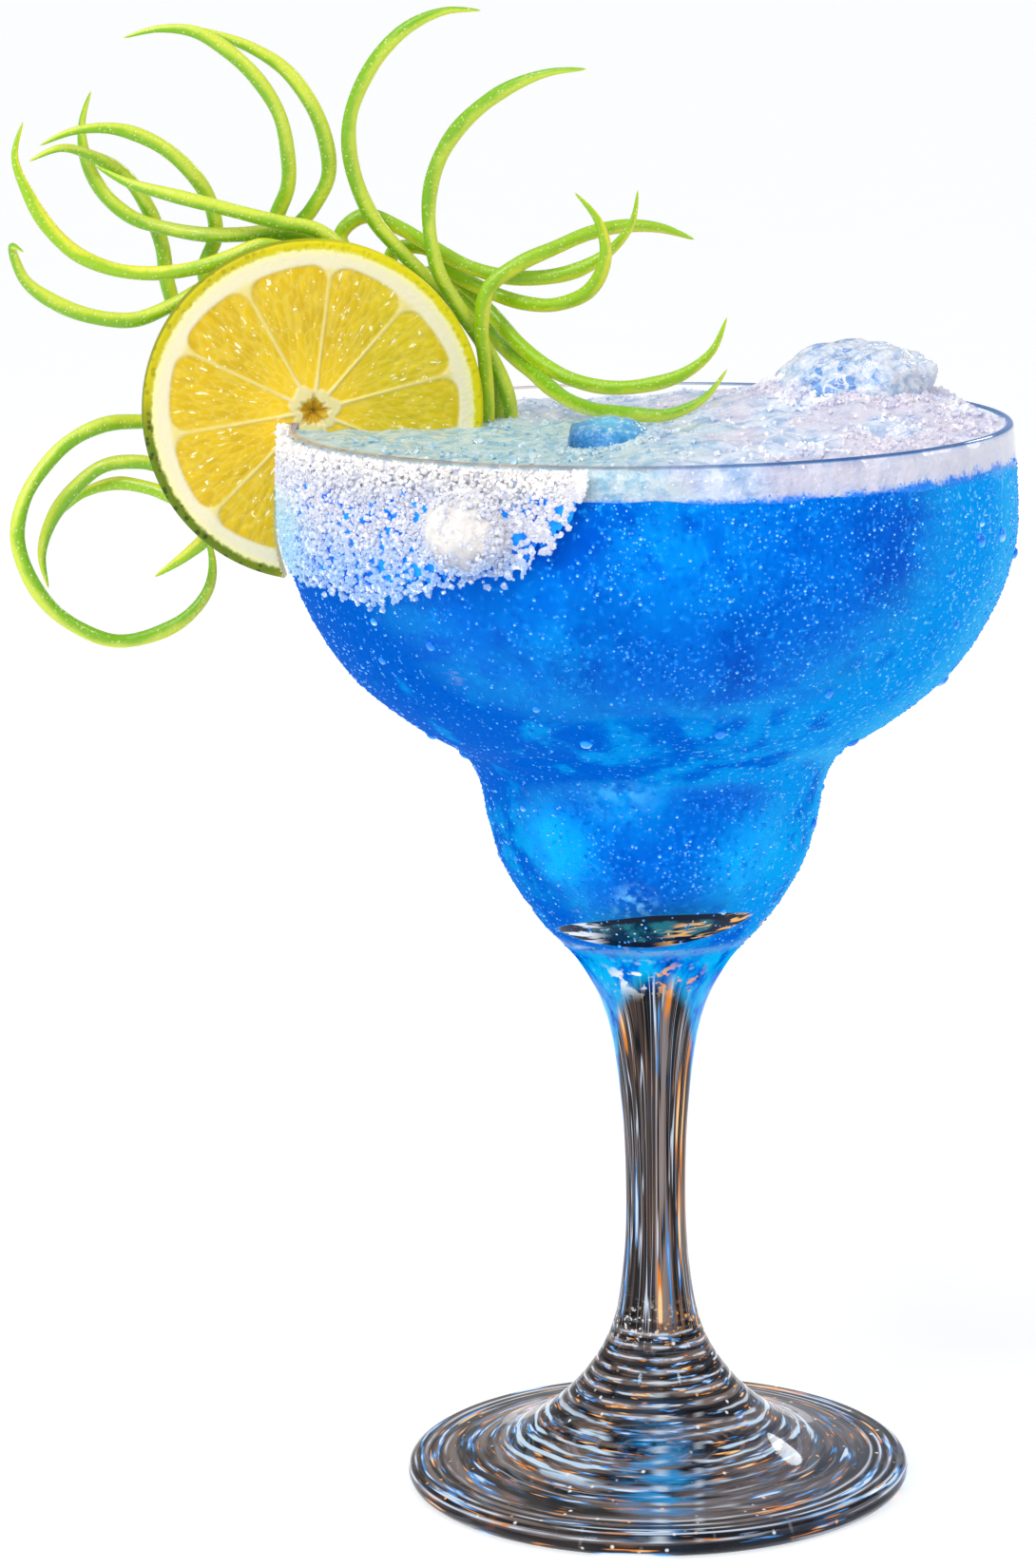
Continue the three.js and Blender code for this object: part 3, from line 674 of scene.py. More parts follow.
CAP_SIDES, CAP_RINGS, CAP_WALL_TOP = 220, 110, 2.2


def on_ice(x, y, lift=0):
    """Points on the cap, or lifted off it by lift millimetres."""
    return np.stack([x, y, ice_height(x, y) + lift], -1)


def ice_cap_rings():
    """A turned-in foot, a side wall with a wavy lower edge, then rings of the field up to the middle."""
    angle, rim = circle(CAP_SIDES), wall_radius(inner_wall, RIM_HEIGHT - 2) + INTO_WALL
    wave = 0.7 * np.sin(3 * angle + 1) + 0.5 * np.sin(11 * angle) + 0.3 * np.sin(29 * angle + 2)
    foot = ICE_FLOOR + 0.9 + 0.5 * wave
    rings = []
    for inset, share in ((2, 0), (0.02, 0), (0, 0.03), (0, 0.3), (0, 0.6), (0, 0.9)):
        height = foot + share * (RIM_HEIGHT - CAP_WALL_TOP - foot)
        rings.append(polar_points(wall_radius(inner_wall, height) + INTO_WALL + 0.03 - inset, angle, height))
    for share in np.linspace(1, 0.012, CAP_RINGS):
        rings.append(on_ice(rim * share * np.cos(angle), rim * share * np.sin(angle)))
    return np.array(rings)


middle = on_ice(np.zeros(1), np.zeros(1))[0]
ice_cap = put_in_scene("crushed_ice", *loft(ice_cap_rings(), (0, 0, ICE_FLOOR + 1), middle))

# %% [markdown]
# Wet crushed ice is white with a breath of lilac on the right, and a pale blue-green beside the citrus
# wheel, where the drink shows through. Light wanders far through ice, so its hollows stay bright. A little
# of its colour given out as light does that without long render times.

# %% Ice finish
def ice_finish(name, shadow, light, wetness=0.3, relief=0.6, scattered=0.4):
    """White ice in two tones, with a bump of grains about a millimetre across."""
    ice = Finish(name)
    x, y, z = ice.axes()
    grain = ice.noise(1.6, 4) + ice.cells(1.1) * 0.35 + ice.noise(0.5, 2) * 0.3
    beside_wheel = (x + (ice.noise(9, 2) - 0.5) * 26).step(14, -8) * y.step(16, -2)
    dissolving = x.step(5, 50)
    ragged, slow = ice.noise(0.6, 3) - 0.5, ice.noise(5, 2) - 0.5
    aqua = ice.coats((124, 176, 196), ((190, 208, 208), ice.noise(2.2, 5).step(0.36, 0.6)))
    soaked = (z + ragged * (1.8 + dissolving * 0.8) + slow * (1 + dissolving * 3)).step(163.4, 162.2)
    tone = ice.coats(
        shadow,
        (light, ice.noise(3.4, 5).step(0.36, 0.58)),
        ((212, 202, 216), (ice.noise(11, 2) + x * 0.004).step(0.5, 0.68) * 0.6),
        (aqua, beside_wheel * 0.85),
        ((246, 246, 250), ice.cells(1.2).step(0.2, 0.08) * 0.7),
        ((238, 236, 244), (x + ice.noise(5, 2) * 20).step(30, 52) * z.step(167.8, 167.2) * 0.6),
        (ice.coats((6, 134, 240), ((150, 200, 240), ice.cells(0.8).step(0.24, 0.1))), soaked),
    )
    sockets = {"Normal": ice.bump(grain, 0.8, relief)}
    return ice.done(ice.body(tone, wetness, sockets, (tone, 0.12), (scattered, (0.6, 0.85, 1.0), 0.002)))


settle(ice_cap, ice_finish("crushed_ice", (156, 182, 216), (212, 220, 236)), "ice", "ice_cap")

# %% [markdown]
# ## Lumps and balls
# Two lumps of ice stand in the cap, and a soft ball of salt clings to the crust. A ball is a ring of
# latitudes, and pushing each point in or out along its own direction makes a lump of it. Flat facets come
# from clipping the ball with random planes, as a broken piece of ice has. The lump is then stretched to
# fill its solid's box.

# %% Lumps
def ball_directions(rows, sides):
    """Unit directions ring by ring from the bottom pole to the top one, the poles left out."""
    tilt = np.linspace(-np.pi / 2, np.pi / 2, rows + 2)[1:-1, None]
    return polar_points(np.cos(tilt), circle(sides), np.sin(tilt))


def broken_lump(name, node, planes, evenness, dents, seed, lean=0.0, rows=70, sides=120):
    """The reach in a direction d is the smallest of h / (n . d) over planes at distance h with normal n,
    softened. A lean moves the upper part to the right."""
    draw = np.random.default_rng(seed)
    normals = unit(draw.normal(size=(planes, 3)))
    far = draw.uniform(0.86, 1.12, planes)
    shapes = []
    for directions in (ball_directions(rows, sides), np.array([[[0, 0, -1.0]], [[0, 0, 1.0]]])):
        facing = np.maximum(directions @ normals.T, 1e-3) / far
        reach = (facing**evenness).sum(-1) ** (-1 / evenness)
        dx, dy, dz = np.moveaxis(directions, -1, 0)
        relief = ripples(dx * 9 + seed, dy * 9 + dz * 4, [7, 4, 2, 1.2], seed)
        shapes.append(directions * (reach * (1 + dents * relief))[..., None])
    points, faces = loft(shapes[0], shapes[1][0, 0], shapes[1][1, 0])
    points[:, 0] += lean * points[:, 2]
    (low, high), small, large = box_mm(node), points.min(0), points.max(0)
    return put_in_scene(name, low + (points - small) / (large - small) * (high - low), faces)


white_lump = broken_lump("white_ice_lump", "ice_lump_white", 46, 7, 0.2, 5, 0.3)
blue_lump = broken_lump("blue_ice_lump", "ice_lump_blue", 40, 8, 0.17, 9, -0.15)
salt_ball = broken_lump("salt_ball_soft", "salt_ball", 60, 4, 0.09, 2)

# %% [markdown]
# The white lump is frosted ice with blue clefts where the drink has soaked in. The blue one is melting:
# smooth, wet and as blue as the drink, with painted light on its top and painted white glints there.

# %% Lump finishes
frosted = Finish("frosted_ice")
x, y, z = frosted.axes()
heart = frosted.near((x, z), (29, 174.5), 9)
pane = frosted.cells(1 / 0.42, output="Color") * 1.0
blue_pane = pane.step(0.5, 0.56) * heart.step(0.15, 0.45)
seams = (frosted.cells(2.4, "DISTANCE_TO_EDGE") + (frosted.noise(1, 3) - 0.5) * 0.3).step(0.02, 0.14)
tone = frosted.coats(
    (178, 202, 234),
    ((224, 230, 246), frosted.noise(1.6, 4).step(0.36, 0.58)),
    ((44, 134, 220), blue_pane * seams * 0.8),
    ((96, 160, 226), frosted.noise(2.4, 4).step(0.54, 0.62) * (0.12 + 0.5 * heart)),
    (WHITE, frosted.noise(2.1, 3).ridge(0.025) * 0.7),
)
frosted_finish = frosted.done(frosted.body(tone, 0.2, {
    "Coat Weight": 0.5, "Coat Roughness": 0.06,
    "Normal": frosted.bump(frosted.cells(2.6) * 0.6 + frosted.noise(1.2, 4), 1.0, 0.7),
}, scatter=(0.3, (0.5, 0.8, 1.0), 0.002)))
settle(white_lump, frosted_finish, "ice", "ice_lump_white")

melting = Finish("melting_ice")
x, y, z = melting.axes()
# Painted light: the top is lighter, where the light falls on it.
painted_light_top = (z + (melting.noise(2.4, 3) - 0.5) * 5).step(169, 172.6)
tone = melting.coats(
    (22, 140, 212),
    ((112, 204, 238), painted_light_top),
    ((14, 112, 176), (x + melting.noise(1.4, 3) * 6).step(-4, -8) * 0.6),
    ((170, 212, 236), (x + melting.noise(1.4, 3) * 6).step(2, 6) * 0.7),
    # Painted white glints on the lit top.
    ((220, 240, 252), melting.noise(0.9, 3).step(0.54, 0.62) * painted_light_top * 0.85),
)
melting_finish = melting.done(melting.body(tone, 0.12, {
    "Coat Weight": 0.6, "Coat Roughness": 0.05, "Normal": melting.bump(melting.noise(1.3, 4), 1.2, 0.9),
}))
settle(blue_lump, melting_finish, "blue_ice", "ice_lump_blue")

# %% [markdown]
# ## The salt crust
# Salt sticks where the rim was wetted: a thick white band under the rim that thins downwards into a lace
# of single crystals, with the blue drink showing between them. It is made as the real one is, from a thin
# base and thousands of grains. The base is a strip of the wall's own surface. The grains are little
# crystals set on it by a seeded draw, dense above and sparse below, all joined into one mesh.

# %% Salt base
SALT_FROM, SALT_TO = 150, 261  # degrees round the glass: 180 is its left, 270 its front
SALT_TOP = RIM_HEIGHT - 0.6
REACH_DEGREES = [150, 166, 185, 205, 224, 238, 250, 257, 261]
REACH_MM = [5, 12, 18.5, 20.5, 21.5, 17.5, 15.5, 10, 3]


def salt_reach(degrees):
    """How far below its top the salt ends, with a ragged edge."""
    ragged = 1.0 * np.sin(degrees * 1.9) + 0.7 * np.sin(degrees * 4.3 + 1) + 0.4 * np.sin(degrees * 9.1)
    return np.interp(degrees, REACH_DEGREES, REACH_MM) + ragged * 0.7


def salt_fade(degrees):
    """1 along the crust, falling to 0 over its last six degrees at either end."""
    return np.clip(np.minimum(degrees - SALT_FROM, SALT_TO - degrees) / 6, 0, 1)


def on_wall(degrees, height, lift):
    """Points on the outside of the bowl, lifted off it by lift millimetres."""
    return polar_points(wall_radius(outer_wall, height) + lift, np.radians(degrees), height)


def salt_base():
    """A closed strip: an outer face and an inner one, each a grid over angle and share of the reach."""
    degrees = np.linspace(SALT_FROM, SALT_TO, 380)[:, None]
    share = np.linspace(0, 1, 64)
    height = SALT_TOP - salt_reach(degrees) * 0.9 * share
    fade = salt_fade(degrees) * np.clip(2.2 - 3.2 * share, 0.0, 1)
    rough = ripples(degrees * 0.95, height, [3.0, 1.7, 1.0, 0.7], 21)
    lift = 0.12 + (0.62 + 1.1 * rough) * fade * np.clip(share * 8 + 0.5, 0, 1)
    outer, inner = on_wall(degrees, height, np.maximum(lift, 0.1)), on_wall(degrees, height, 0.02)
    rings = np.concatenate([outer, inner[:, ::-1]], axis=1)
    depth = np.concatenate([share, share[::-1]]) + 0 * degrees
    points, faces = loft(rings, rings[0].mean(0), rings[-1].mean(0))
    return put_in_scene("salt_base", points, faces, depth=np.append(depth.ravel(), [0, 0]))


salt_strip = salt_base()

# %% [markdown]
# The base is white above. Its lower half is so thin that it takes the drink's blue, and there the grains
# alone make the lace. That blue is also given out as light, a painted glow like the drink's. Grains are
# whiter and warmer near the rim, and glassy pale blue at the left edge. They give out a little of their
# colour as light, a painted glow that lightens their shade. The soft ball is painted darker and lilac
# towards its bottom, as shade.

# %% Salt finishes
salt = Finish("salt_base")
thin = (salt.stored("depth") + (salt.noise(1.8, 3) - 0.5) * 0.9).step(0.26, 0.42)
snow = salt.coats((182, 190, 212), ((232, 230, 232), salt.noise(1.3, 3).step(0.38, 0.58)))
through = salt.coats((0, 108, 220), ((20, 150, 244), salt.noise(5, 2).step(0.4, 0.6)))
# The blue that shows through is given out as light: a painted glow.
salt_base_finish = salt.done(salt.body(salt.coats(snow, (through, thin)), 0.55, {
    "Specular IOR Level": 0.2, "Normal": salt.bump(salt.cells(1.1) + salt.noise(0.5, 2) * 0.5, 0.5, 0.8),
}, glow=(salt.coats(BLACK, (through, thin)), 0.35)))
settle(salt_strip, salt_base_finish, "salt", "salt_crust")

crystal = Finish("salt_crystal")
x, y, z = crystal.axes()
at_left = (x + crystal.noise(1.2, 2) * 6).step(-46, -52) * (z + crystal.noise(2, 2) * 5).step(164, 158)
tone = crystal.coats(
    (160, 194, 238),
    ((214, 216, 230), (z + crystal.noise(2, 3) * 12).step(156, 165)),
    ((244, 240, 238), (z + crystal.noise(2, 3) * 5).step(165, 169)),
    (WHITE, crystal.noise(0.9, 2).step(0.56, 0.6) * 0.7),
    ((170, 216, 234), at_left * 0.7),
)
# A painted glow that lightens the grains' shade.
crystal_finish = crystal.done(crystal.body(tone, 0.25, glow=(tone, 0.07)))

puff = Finish("packed_salt")
tone = puff.coats(
    (232, 226, 224),
    ((246, 242, 238), puff.noise(1.6, 4).step(0.34, 0.58)),
    # Painted shade: darker and lilac towards the ball's bottom.
    ((186, 188, 206), (puff.axes()[2] + puff.noise(3, 2) * 3).step(159, 154.5)),
)
packed = puff.bump(puff.noise(0.8, 4) + puff.cells(1.0) * 0.6, 0.6, 0.8)
puff_finish = puff.done(puff.body(tone, 0.7, {"Normal": packed}, scatter=(0.3, (1.0, 0.9, 0.85), 0.0015)))
settle(salt_ball, puff_finish, "salt", "salt_ball")

# %% [markdown]
# A crystal is a small cube. Each copy is stretched by its own three factors, turned and placed by
# multiplying whole arrays: copies by corners by coordinates.

# %% Scattering one small shape many times
def random_turns(count, draw):
    """Rotation matrices of random unit quaternions (w, x, y, z)."""
    w, x, y, z = draw.normal(size=(4, count))
    length = np.sqrt(w * w + x * x + y * y + z * z)
    w, x, y, z = w / length, x / length, y / length, z / length
    rows = [
        [1 - 2 * (y * y + z * z), 2 * (x * y - z * w), 2 * (x * z + y * w)],
        [2 * (x * y + z * w), 1 - 2 * (x * x + z * z), 2 * (y * z - x * w)],
        [2 * (x * z - y * w), 2 * (y * z + x * w), 1 - 2 * (x * x + y * y)],
    ]
    return np.moveaxis(np.array(rows), -1, 0)


def uneven(draw, count, low, high, least, most):
    """Sizes from low to high, each stretched by its own factors from least to most along three axes."""
    return draw.uniform(low, high, (count, 1)) * draw.uniform(least, most, (count, 3))


def scattered(name, shape, shape_faces, places, turns, scales, smooth=False, **fields):
    """One mesh of many copies: place + turn . (scale x shape), for every copy at once."""
    points = np.einsum("nij,nkj->nki", turns, shape * scales[:, None, :]) + places[:, None, :]
    offset = (np.arange(len(places)) * len(shape))[:, None, None]
    faces = (shape_faces[None] + offset).reshape(-1, shape_faces.shape[1])
    return put_in_scene(name, points.reshape(-1, 3), [faces], smooth, **fields)


def scattered_cubes(name, places, scales, draw):
    """Little cubes turned at random."""
    cube = np.array([(x, y, z) for z in (-1, 1) for y in (-1, 1) for x in (-1, 1)], float)
    faces = np.array([(0, 2, 3, 1), (4, 5, 7, 6), (0, 1, 5, 4), (2, 6, 7, 3), (0, 4, 6, 2), (1, 3, 7, 5)])
    return scattered(name, cube, faces, places, random_turns(len(places), draw), scales)

# %% [markdown]
# Where the salt thins it breaks into a lace. Water has drawn the crystals together into threads round
# bare spots, like the walls of foam. So bare spots are scattered first, and a grain stays only where the
# nearest two are almost equally far, the more strictly the lower it lies.

# %% Salt grains
RIM_GRAINS, BALL_GRAINS_DRAWN, BALL_GRAINS_KEPT = 420, 2600, 1000
CRUST_GRAINS_DRAWN, CRUST_GRAINS_KEPT = 34000, 15200


def two_nearest(distance):
    """The smallest and the second smallest number of each row."""
    return np.sort(np.partition(distance, 1, axis=1)[:, :2], axis=1).T


def lace_threads(arc, height, spacing, draw):
    """How far a place is from the thread between its two nearest bare spots, found in blocks of places."""
    size = np.array([np.ptp(arc), np.ptp(height)]) + 4
    count = int(size[0] * size[1] / spacing**2)
    spots = draw.uniform(0, 1, (count, 2)) * size + [arc.min() - 2, height.min() - 2]
    gaps = []
    for block in np.array_split(np.arange(len(arc)), 12):
        away = np.hypot(arc[block, None] - spots[:, 0], height[block, None] - spots[:, 1])
        first, second = two_nearest(away)
        gaps.append(second - first)
    return np.concatenate(gaps)


def salt_grains(count, draw):
    """Grains over the crust, in a dense band above and in threads below."""
    degrees = draw.uniform(SALT_FROM, SALT_TO, count)
    share = draw.uniform(0, 1, count)
    height = SALT_TOP - 0.1 - salt_reach(degrees) * share
    threads = lace_threads(np.radians(degrees) * 55, height, 1.6, draw)
    slow = ripples(degrees * 0.97, height, [9, 5], 31)
    open_here = np.clip(share * 2.0 - 0.5 + 0.5 * slow, 0, 1)
    kept = threads < 1.4 - 1.14 * open_here
    kept &= draw.uniform(0, 1, count) < 0.42 + 0.58 * open_here
    degrees, share, height = degrees[kept], share[kept], height[kept]
    lift = 0.2 + draw.uniform(0.0, 1.05, len(height)) * np.clip(1.2 - share, 0.25, 1) * salt_fade(degrees)
    near_wheel = np.clip(1 - np.abs(degrees - 180) / 9, 0, 1)
    lift = np.minimum(lift + 0.5 * near_wheel * draw.uniform(0, 1, len(height)), 1.5)
    return on_wall(degrees, height, lift), uneven(draw, len(height), 0.14, 0.3, 0.7, 1.35)


def rim_grains(count, draw):
    """A few grains over the rim's edge, where the wheel sits on it."""
    degrees, height = draw.uniform(168, 189, count), RIM_HEIGHT + draw.uniform(-0.9, 0.35, count)
    size = uneven(draw, count, 0.16, 0.34, 0.8, 1.3)
    return on_wall(degrees, height, draw.uniform(-0.3, 1.25, count)), size


def ball_grains(count, draw):
    """Grains on the soft ball, few on its face and many round its foot, where it grows out of the crust."""
    low, high = box_mm("salt_ball")
    centre = (low + high) / 2
    towards = unit(draw.normal(size=(count, 3)))
    facing = towards @ (centre * [1, 1, 0]) / np.hypot(centre[0], centre[1])
    kept = (facing > -0.1) & (draw.uniform(0, 1, count) < np.clip((0.72 - facing) / 0.5, 0.08, 1))
    towards = towards[kept][:BALL_GRAINS_KEPT]
    size = uneven(draw, len(towards), 0.14, 0.32, 0.7, 1.35)
    return centre + towards * (high - low) / 2 * draw.uniform(0.9, 1.05, (len(towards), 1)), size


ball_layer = ball_grains(BALL_GRAINS_DRAWN, np.random.default_rng(5))
layers = rim_grains(RIM_GRAINS, chance), ball_layer, salt_grains(CRUST_GRAINS_DRAWN, chance)
places, size = (np.vstack([rim, ball, crust[:CRUST_GRAINS_KEPT]]) for rim, ball, crust in zip(*layers))
settle(scattered_cubes("salt_grains", places, size, chance), crystal_finish, "salt")

# %% [markdown]
# A few thousand chips of ice lie loose on the cap, most of them on the mound's right flank and along the
# right rim, where the heap slopes down to the glass.

# %% Ice chips
CHIPS_DRAWN, CHIPS_TO = 11000, 52.8
CHIPS_ROUND = {"ice_lump_white": 1500, "ice_lump_blue": 900}


def ice_chips(count, draw):
    """Chips on the height field, denser towards the right rim and round the two lumps."""
    reach, angle = CHIPS_TO * np.sqrt(draw.uniform(0, 1, count)), draw.uniform(0, 2 * np.pi, count)
    x, y = reach * np.cos(angle), reach * np.sin(angle)
    near_rim = np.clip((reach - 36) / 14, 0, 1) * np.clip((x - 8) / 25, 0, 1)
    kept = draw.uniform(0, 1, count) < 0.07 + 0.8 * near_rim
    kept &= ~((x < -30) & (np.abs(y) < 14))
    x, y = x[kept], y[kept]
    for node, count in CHIPS_ROUND.items():
        low, high = box_mm(node)
        angle, out = draw.uniform(0, 2 * np.pi, count), 1 + draw.uniform(-0.22, 0.25, count)
        centre, half = (low + high) / 2, (high - low) / 2
        x = np.append(x, centre[0] + half[0] * out * np.cos(angle))
        y = np.append(y, centre[1] + half[1] * out * np.sin(angle))
    size = uneven(draw, len(x), 0.13, 0.4, 0.6, 1.3)
    return on_ice(x, y, draw.uniform(0, 0.35, len(x))), size


chips = scattered_cubes("ice_chips", *ice_chips(CHIPS_DRAWN, chance), chance)
settle(chips, ice_finish("ice_chips", (196, 208, 232), (240, 240, 246), 0.2, 0.2, 0.0), "ice")

# %% [markdown]
# ## The citrus wheel
# A round slice on a polar grid: rings from the core hole to the skin over the front, round the edge and
# back over the other face. Each segment is a wedge with rounded corners. The distance to its nearest
# side says where flesh ends and membrane begins, and the flesh is made of long juice cells that point at
# the core. They are the cells of a Voronoi pattern stretched along the radius.

# %% Wheel shape
WHEEL = dict(x=-51.4, z=170.2, radius=26.0, thickness=4.8, turn=math.radians(8))
MEMBRANES = np.radians([14, 48, 82, 118, 153, 188, 224, 261, 299, 337])
FLESH_EDGE, CORE_EDGE, ROUNDING = 22.1, 3.7, 0.6
WHEEL_SIDES = 384


def shortest_turn(angle):
    """An angle between two directions, brought to between minus and plus half a turn."""
    return (angle + np.pi) % (2 * np.pi) - np.pi


def wedge_depth(radius, angle):
    """How deep a place lies in its segment: the distance to the nearest side, rounded in the corners."""
    gap = np.abs(shortest_turn(angle[..., None] - MEMBRANES))
    thickness = 0.16 + 0.14 * np.clip((7 - radius) / 4, 0, 1)
    beside = radius * np.sin(np.minimum(gap.min(-1), np.pi / 2)) - thickness
    corner = 0.2 + 2.6 * np.clip((radius - 10) / 9, 0, 1) ** 1.5
    hub = CORE_EDGE + 0.4 * np.sin(3 * angle + 1) + 0.3 * np.sin(7 * angle)
    inset = [beside, FLESH_EDGE + 0.3 * np.sin(angle * 5 + 1) - radius, radius - hub]
    short = sum(np.maximum(corner - side, 0) ** 2 for side in inset)
    return corner - np.sqrt(short)


def juice_cells(radius, angle, seed):
    """Distances to the two nearest seeds, with the radius counted three times shorter than the arc."""
    draw = np.random.default_rng(seed)
    seeds = []
    for ring in np.arange(4.6, 22.5, 2.1):
        count = int(2 * np.pi * ring / 1.1)
        around = (np.arange(count) + draw.uniform(0, 1)) * 2 * np.pi / count
        outward, aside = draw.uniform(-1.5, 1.5, count), draw.normal(0, 0.4, count) / ring
        seeds.append(np.stack([ring + outward, around + aside], -1))
    seeds = np.vstack(seeds)
    flat_radius, flat_angle = radius.ravel()[:, None], angle.ravel()[:, None]
    turn = shortest_turn(flat_angle - seeds[:, 1])
    distance = np.hypot((flat_radius - seeds[:, 0]) / 2.9, turn * flat_radius / 0.85)
    tone = np.random.default_rng(seed + 1).uniform(0, 1, len(seeds))[distance.argmin(1)]
    return [values.reshape(radius.shape) for values in (*two_nearest(distance), tone)]


def wheel_face(radius, angle, seed):
    """Relief of one cut face in millimetres, with the flesh share, the cell walls and the cells' tones."""
    depth = wedge_depth(radius, angle)
    flesh = np.clip(depth / 0.35 + 0.4, 0, 1)
    first, second, tone = juice_cells(radius, angle, seed)
    wall = np.clip(1 - (second - first) / 0.3, 0, 1)
    domes = 0.26 * (1 - first**2) - 0.08 * wall
    relief = -0.34 * flesh + domes * flesh * np.clip(depth, 0, 1)
    return relief, flesh, wall, tone


def plain_rings(radius, across):
    """Rings without flesh, wall or tone, each a (radius, across) at every angle."""
    return np.stack(np.broadcast_arrays(radius, across, 0, 0, np.zeros((1, WHEEL_SIDES))), -1)


def wheel_rings():
    """Rings from the core hole over the front face, round the skin, over the back and through the hole."""
    angle = circle(WHEEL_SIDES)[None]
    hole = 2.2 + 0.45 * np.sin(5 * angle + 0.6) + 0.3 * np.sin(8 * angle + 2) + 0.2 * np.sin(13 * angle)
    half, outer = WHEEL["thickness"] / 2, WHEEL["radius"] - ROUNDING
    face_radius = hole + (outer - hole) * np.linspace(0, 1, 94)[:, None]
    bend = np.linspace(0, np.pi / 2, 6)[1:, None]
    stack = []
    for side, seed in ((1, 41), (-1, 57)):
        relief, flesh, wall, tone = wheel_face(face_radius, angle + 0 * face_radius, seed)
        front = np.stack([face_radius, side * (half + relief), flesh, wall, tone], -1)
        across = half - ROUNDING + ROUNDING * np.cos(bend)
        edge = plain_rings(outer + ROUNDING * np.sin(bend), side * across)
        stack.append(np.concatenate([front, edge])[::side])
    inward = np.linspace(-1, 1, 9)[1:-1, None]
    stack.append(plain_rings(hole * (0.1 + 0.9 * np.abs(inward) ** 1.2), inward * half))
    return np.concatenate(stack), angle[0]


def stand_at_rim(radius, angle, across):
    """From the wheel's own polar place to the object's frame: the front face looks at -Y, turned about Z."""
    level, rise, turn = radius * np.cos(angle), radius * np.sin(angle), WHEEL["turn"]
    x = WHEEL["x"] + level * np.cos(turn) + across * np.sin(turn)
    return np.stack([x, level * np.sin(turn) - across * np.cos(turn), WHEEL["z"] + rise], -1)


section, angle = wheel_rings()
radius, across, flesh, wall, tone = np.moveaxis(section, -1, 0)
around = angle + 0 * radius
polar = np.stack([radius, np.cos(around), np.sin(around)], -1).reshape(-1, 3)
wheel = put_in_scene(
    "citrus_slice", *loft(stand_at_rim(radius, around, across)),
    flesh=flesh.ravel(), wall=wall.ravel(), tone=tone.ravel(), polar=polar,
)

# %% [markdown]
# The slit that lets the wheel sit on the rim is cut with a ring a little thicker than the wall and its
# salt. A Boolean keeps the values stored at the points, and it is applied at once, so that the piece is
# plain mesh again.

# %% Slit
SLIT_FROM, SLIT_OUTSIDE, SLIT_INSIDE = 138, 1.6, 0.35


def cut_slit(piece):
    height = np.linspace(SLIT_FROM, RIM_HEIGHT + 0.5, 24)
    outside = np.stack([wall_radius(outer_wall, height) + SLIT_OUTSIDE, height], -1)
    inside = np.stack([wall_radius(inner_wall, height) - SLIT_INSIDE, height], -1)[::-1]
    cutter = put_in_scene("slit_cutter", *loft(turned(np.vstack([outside, inside]), 96)))
    cut = piece.modifiers.new("slit", "BOOLEAN")
    cut.operation, cut.object, cut.solver = "DIFFERENCE", cutter, "MANIFOLD"
    bpy.context.view_layer.objects.active = piece
    bpy.ops.object.modifier_apply(modifier=cut.name)
    bpy.data.objects.remove(cutter)


before = len(wheel.data.vertices)
cut_slit(wheel)
print("slit: vertices", before, "to", len(wheel.data.vertices))

# %% [markdown]
# The flesh is gold, brighter near the core and greener on the right. Short pale dashes are painted
# highlights: the ends of juice cells that catch the light. The pith is cream. The skin is yellow on top and
# green down the left side, with the darker dots of its oil glands. Flesh and core give out some of their
# colour as light, a painted glow, and the slit's pale cut faces glow fully, which lightens the slit's shade.

# %% Wheel finish
citrus = Finish("citrus_wheel")
x = citrus.axes()[0]
reach, to_right, to_top = citrus.axes(citrus.stored("polar", "Vector"))
flesh, wall, tone = citrus.stored("flesh"), citrus.stored("wall"), citrus.stored("tone")
dashes = citrus.noise(1, 2, citrus.vector(reach * 0.42, to_right * 24, to_top * 24))
dots = citrus.noise(1, 2, citrus.vector(reach * 1.1 + 9, to_right * 18, to_top * 18))
glint = dashes.step(0.66, 0.71) * reach.step(4, 9) + dots.step(0.67, 0.72)
gold = citrus.coats(
    (202, 166, 14),
    ((226, 192, 26), tone * 0.6 + citrus.noise(3, 3) * 0.5),
    ((246, 206, 10), reach.step(13, 4) * 0.75),
    ((206, 196, 34), (x + citrus.noise(8, 2) * 6).step(-46, -36) * 0.5),
    ((244, 226, 110), wall * 0.3),
    ((255, 250, 214), glint * 0.85),
)
throat = (reach + (citrus.noise(1.1, 2) - 0.5) * 2.2).step(2.1, 1.8)
pith = citrus.coats(
    (244, 236, 200),
    ((250, 244, 172), reach.step(23.4, 24.6)),
    ((244, 228, 160), reach.step(7, 4.5) * 0.8 + citrus.noise(4, 3) * 0.15),
    ((238, 220, 120), reach.step(22.4, 21.2) * reach.step(5, 6) * 0.75),
    ((206, 168, 48), throat),
)
low_left = (to_right * 0.8 + to_top * 0.6 + (citrus.noise(6, 2) - 0.5) * 0.4).step(-0.6, -0.9)
left = (to_right + (citrus.noise(4, 2) - 0.5) * 0.5).step(0.1, -0.6)
glands = citrus.cells(1.3).step(0.42, 0.16)
skin = citrus.coats(
    (226, 214, 0),
    ((200, 188, 10), left * 0.8),
    ((102, 126, 4), low_left),
    ((84, 110, 6), reach.step(25.75, 26.0) * to_right.step(0.5, -0.3) * 0.6),
    ((52, 78, 4), glands * (low_left * 0.75 + left * 0.25 + 0.06)),
)
edge = (reach + (citrus.noise(0.9, 2) - 0.5) * 0.9).step(24.3, 24.9)
in_slit = reach.step(0.2, 0.1)
colour = citrus.coats(pith, (gold, flesh), (skin, edge), ((240, 222, 140), in_slit))
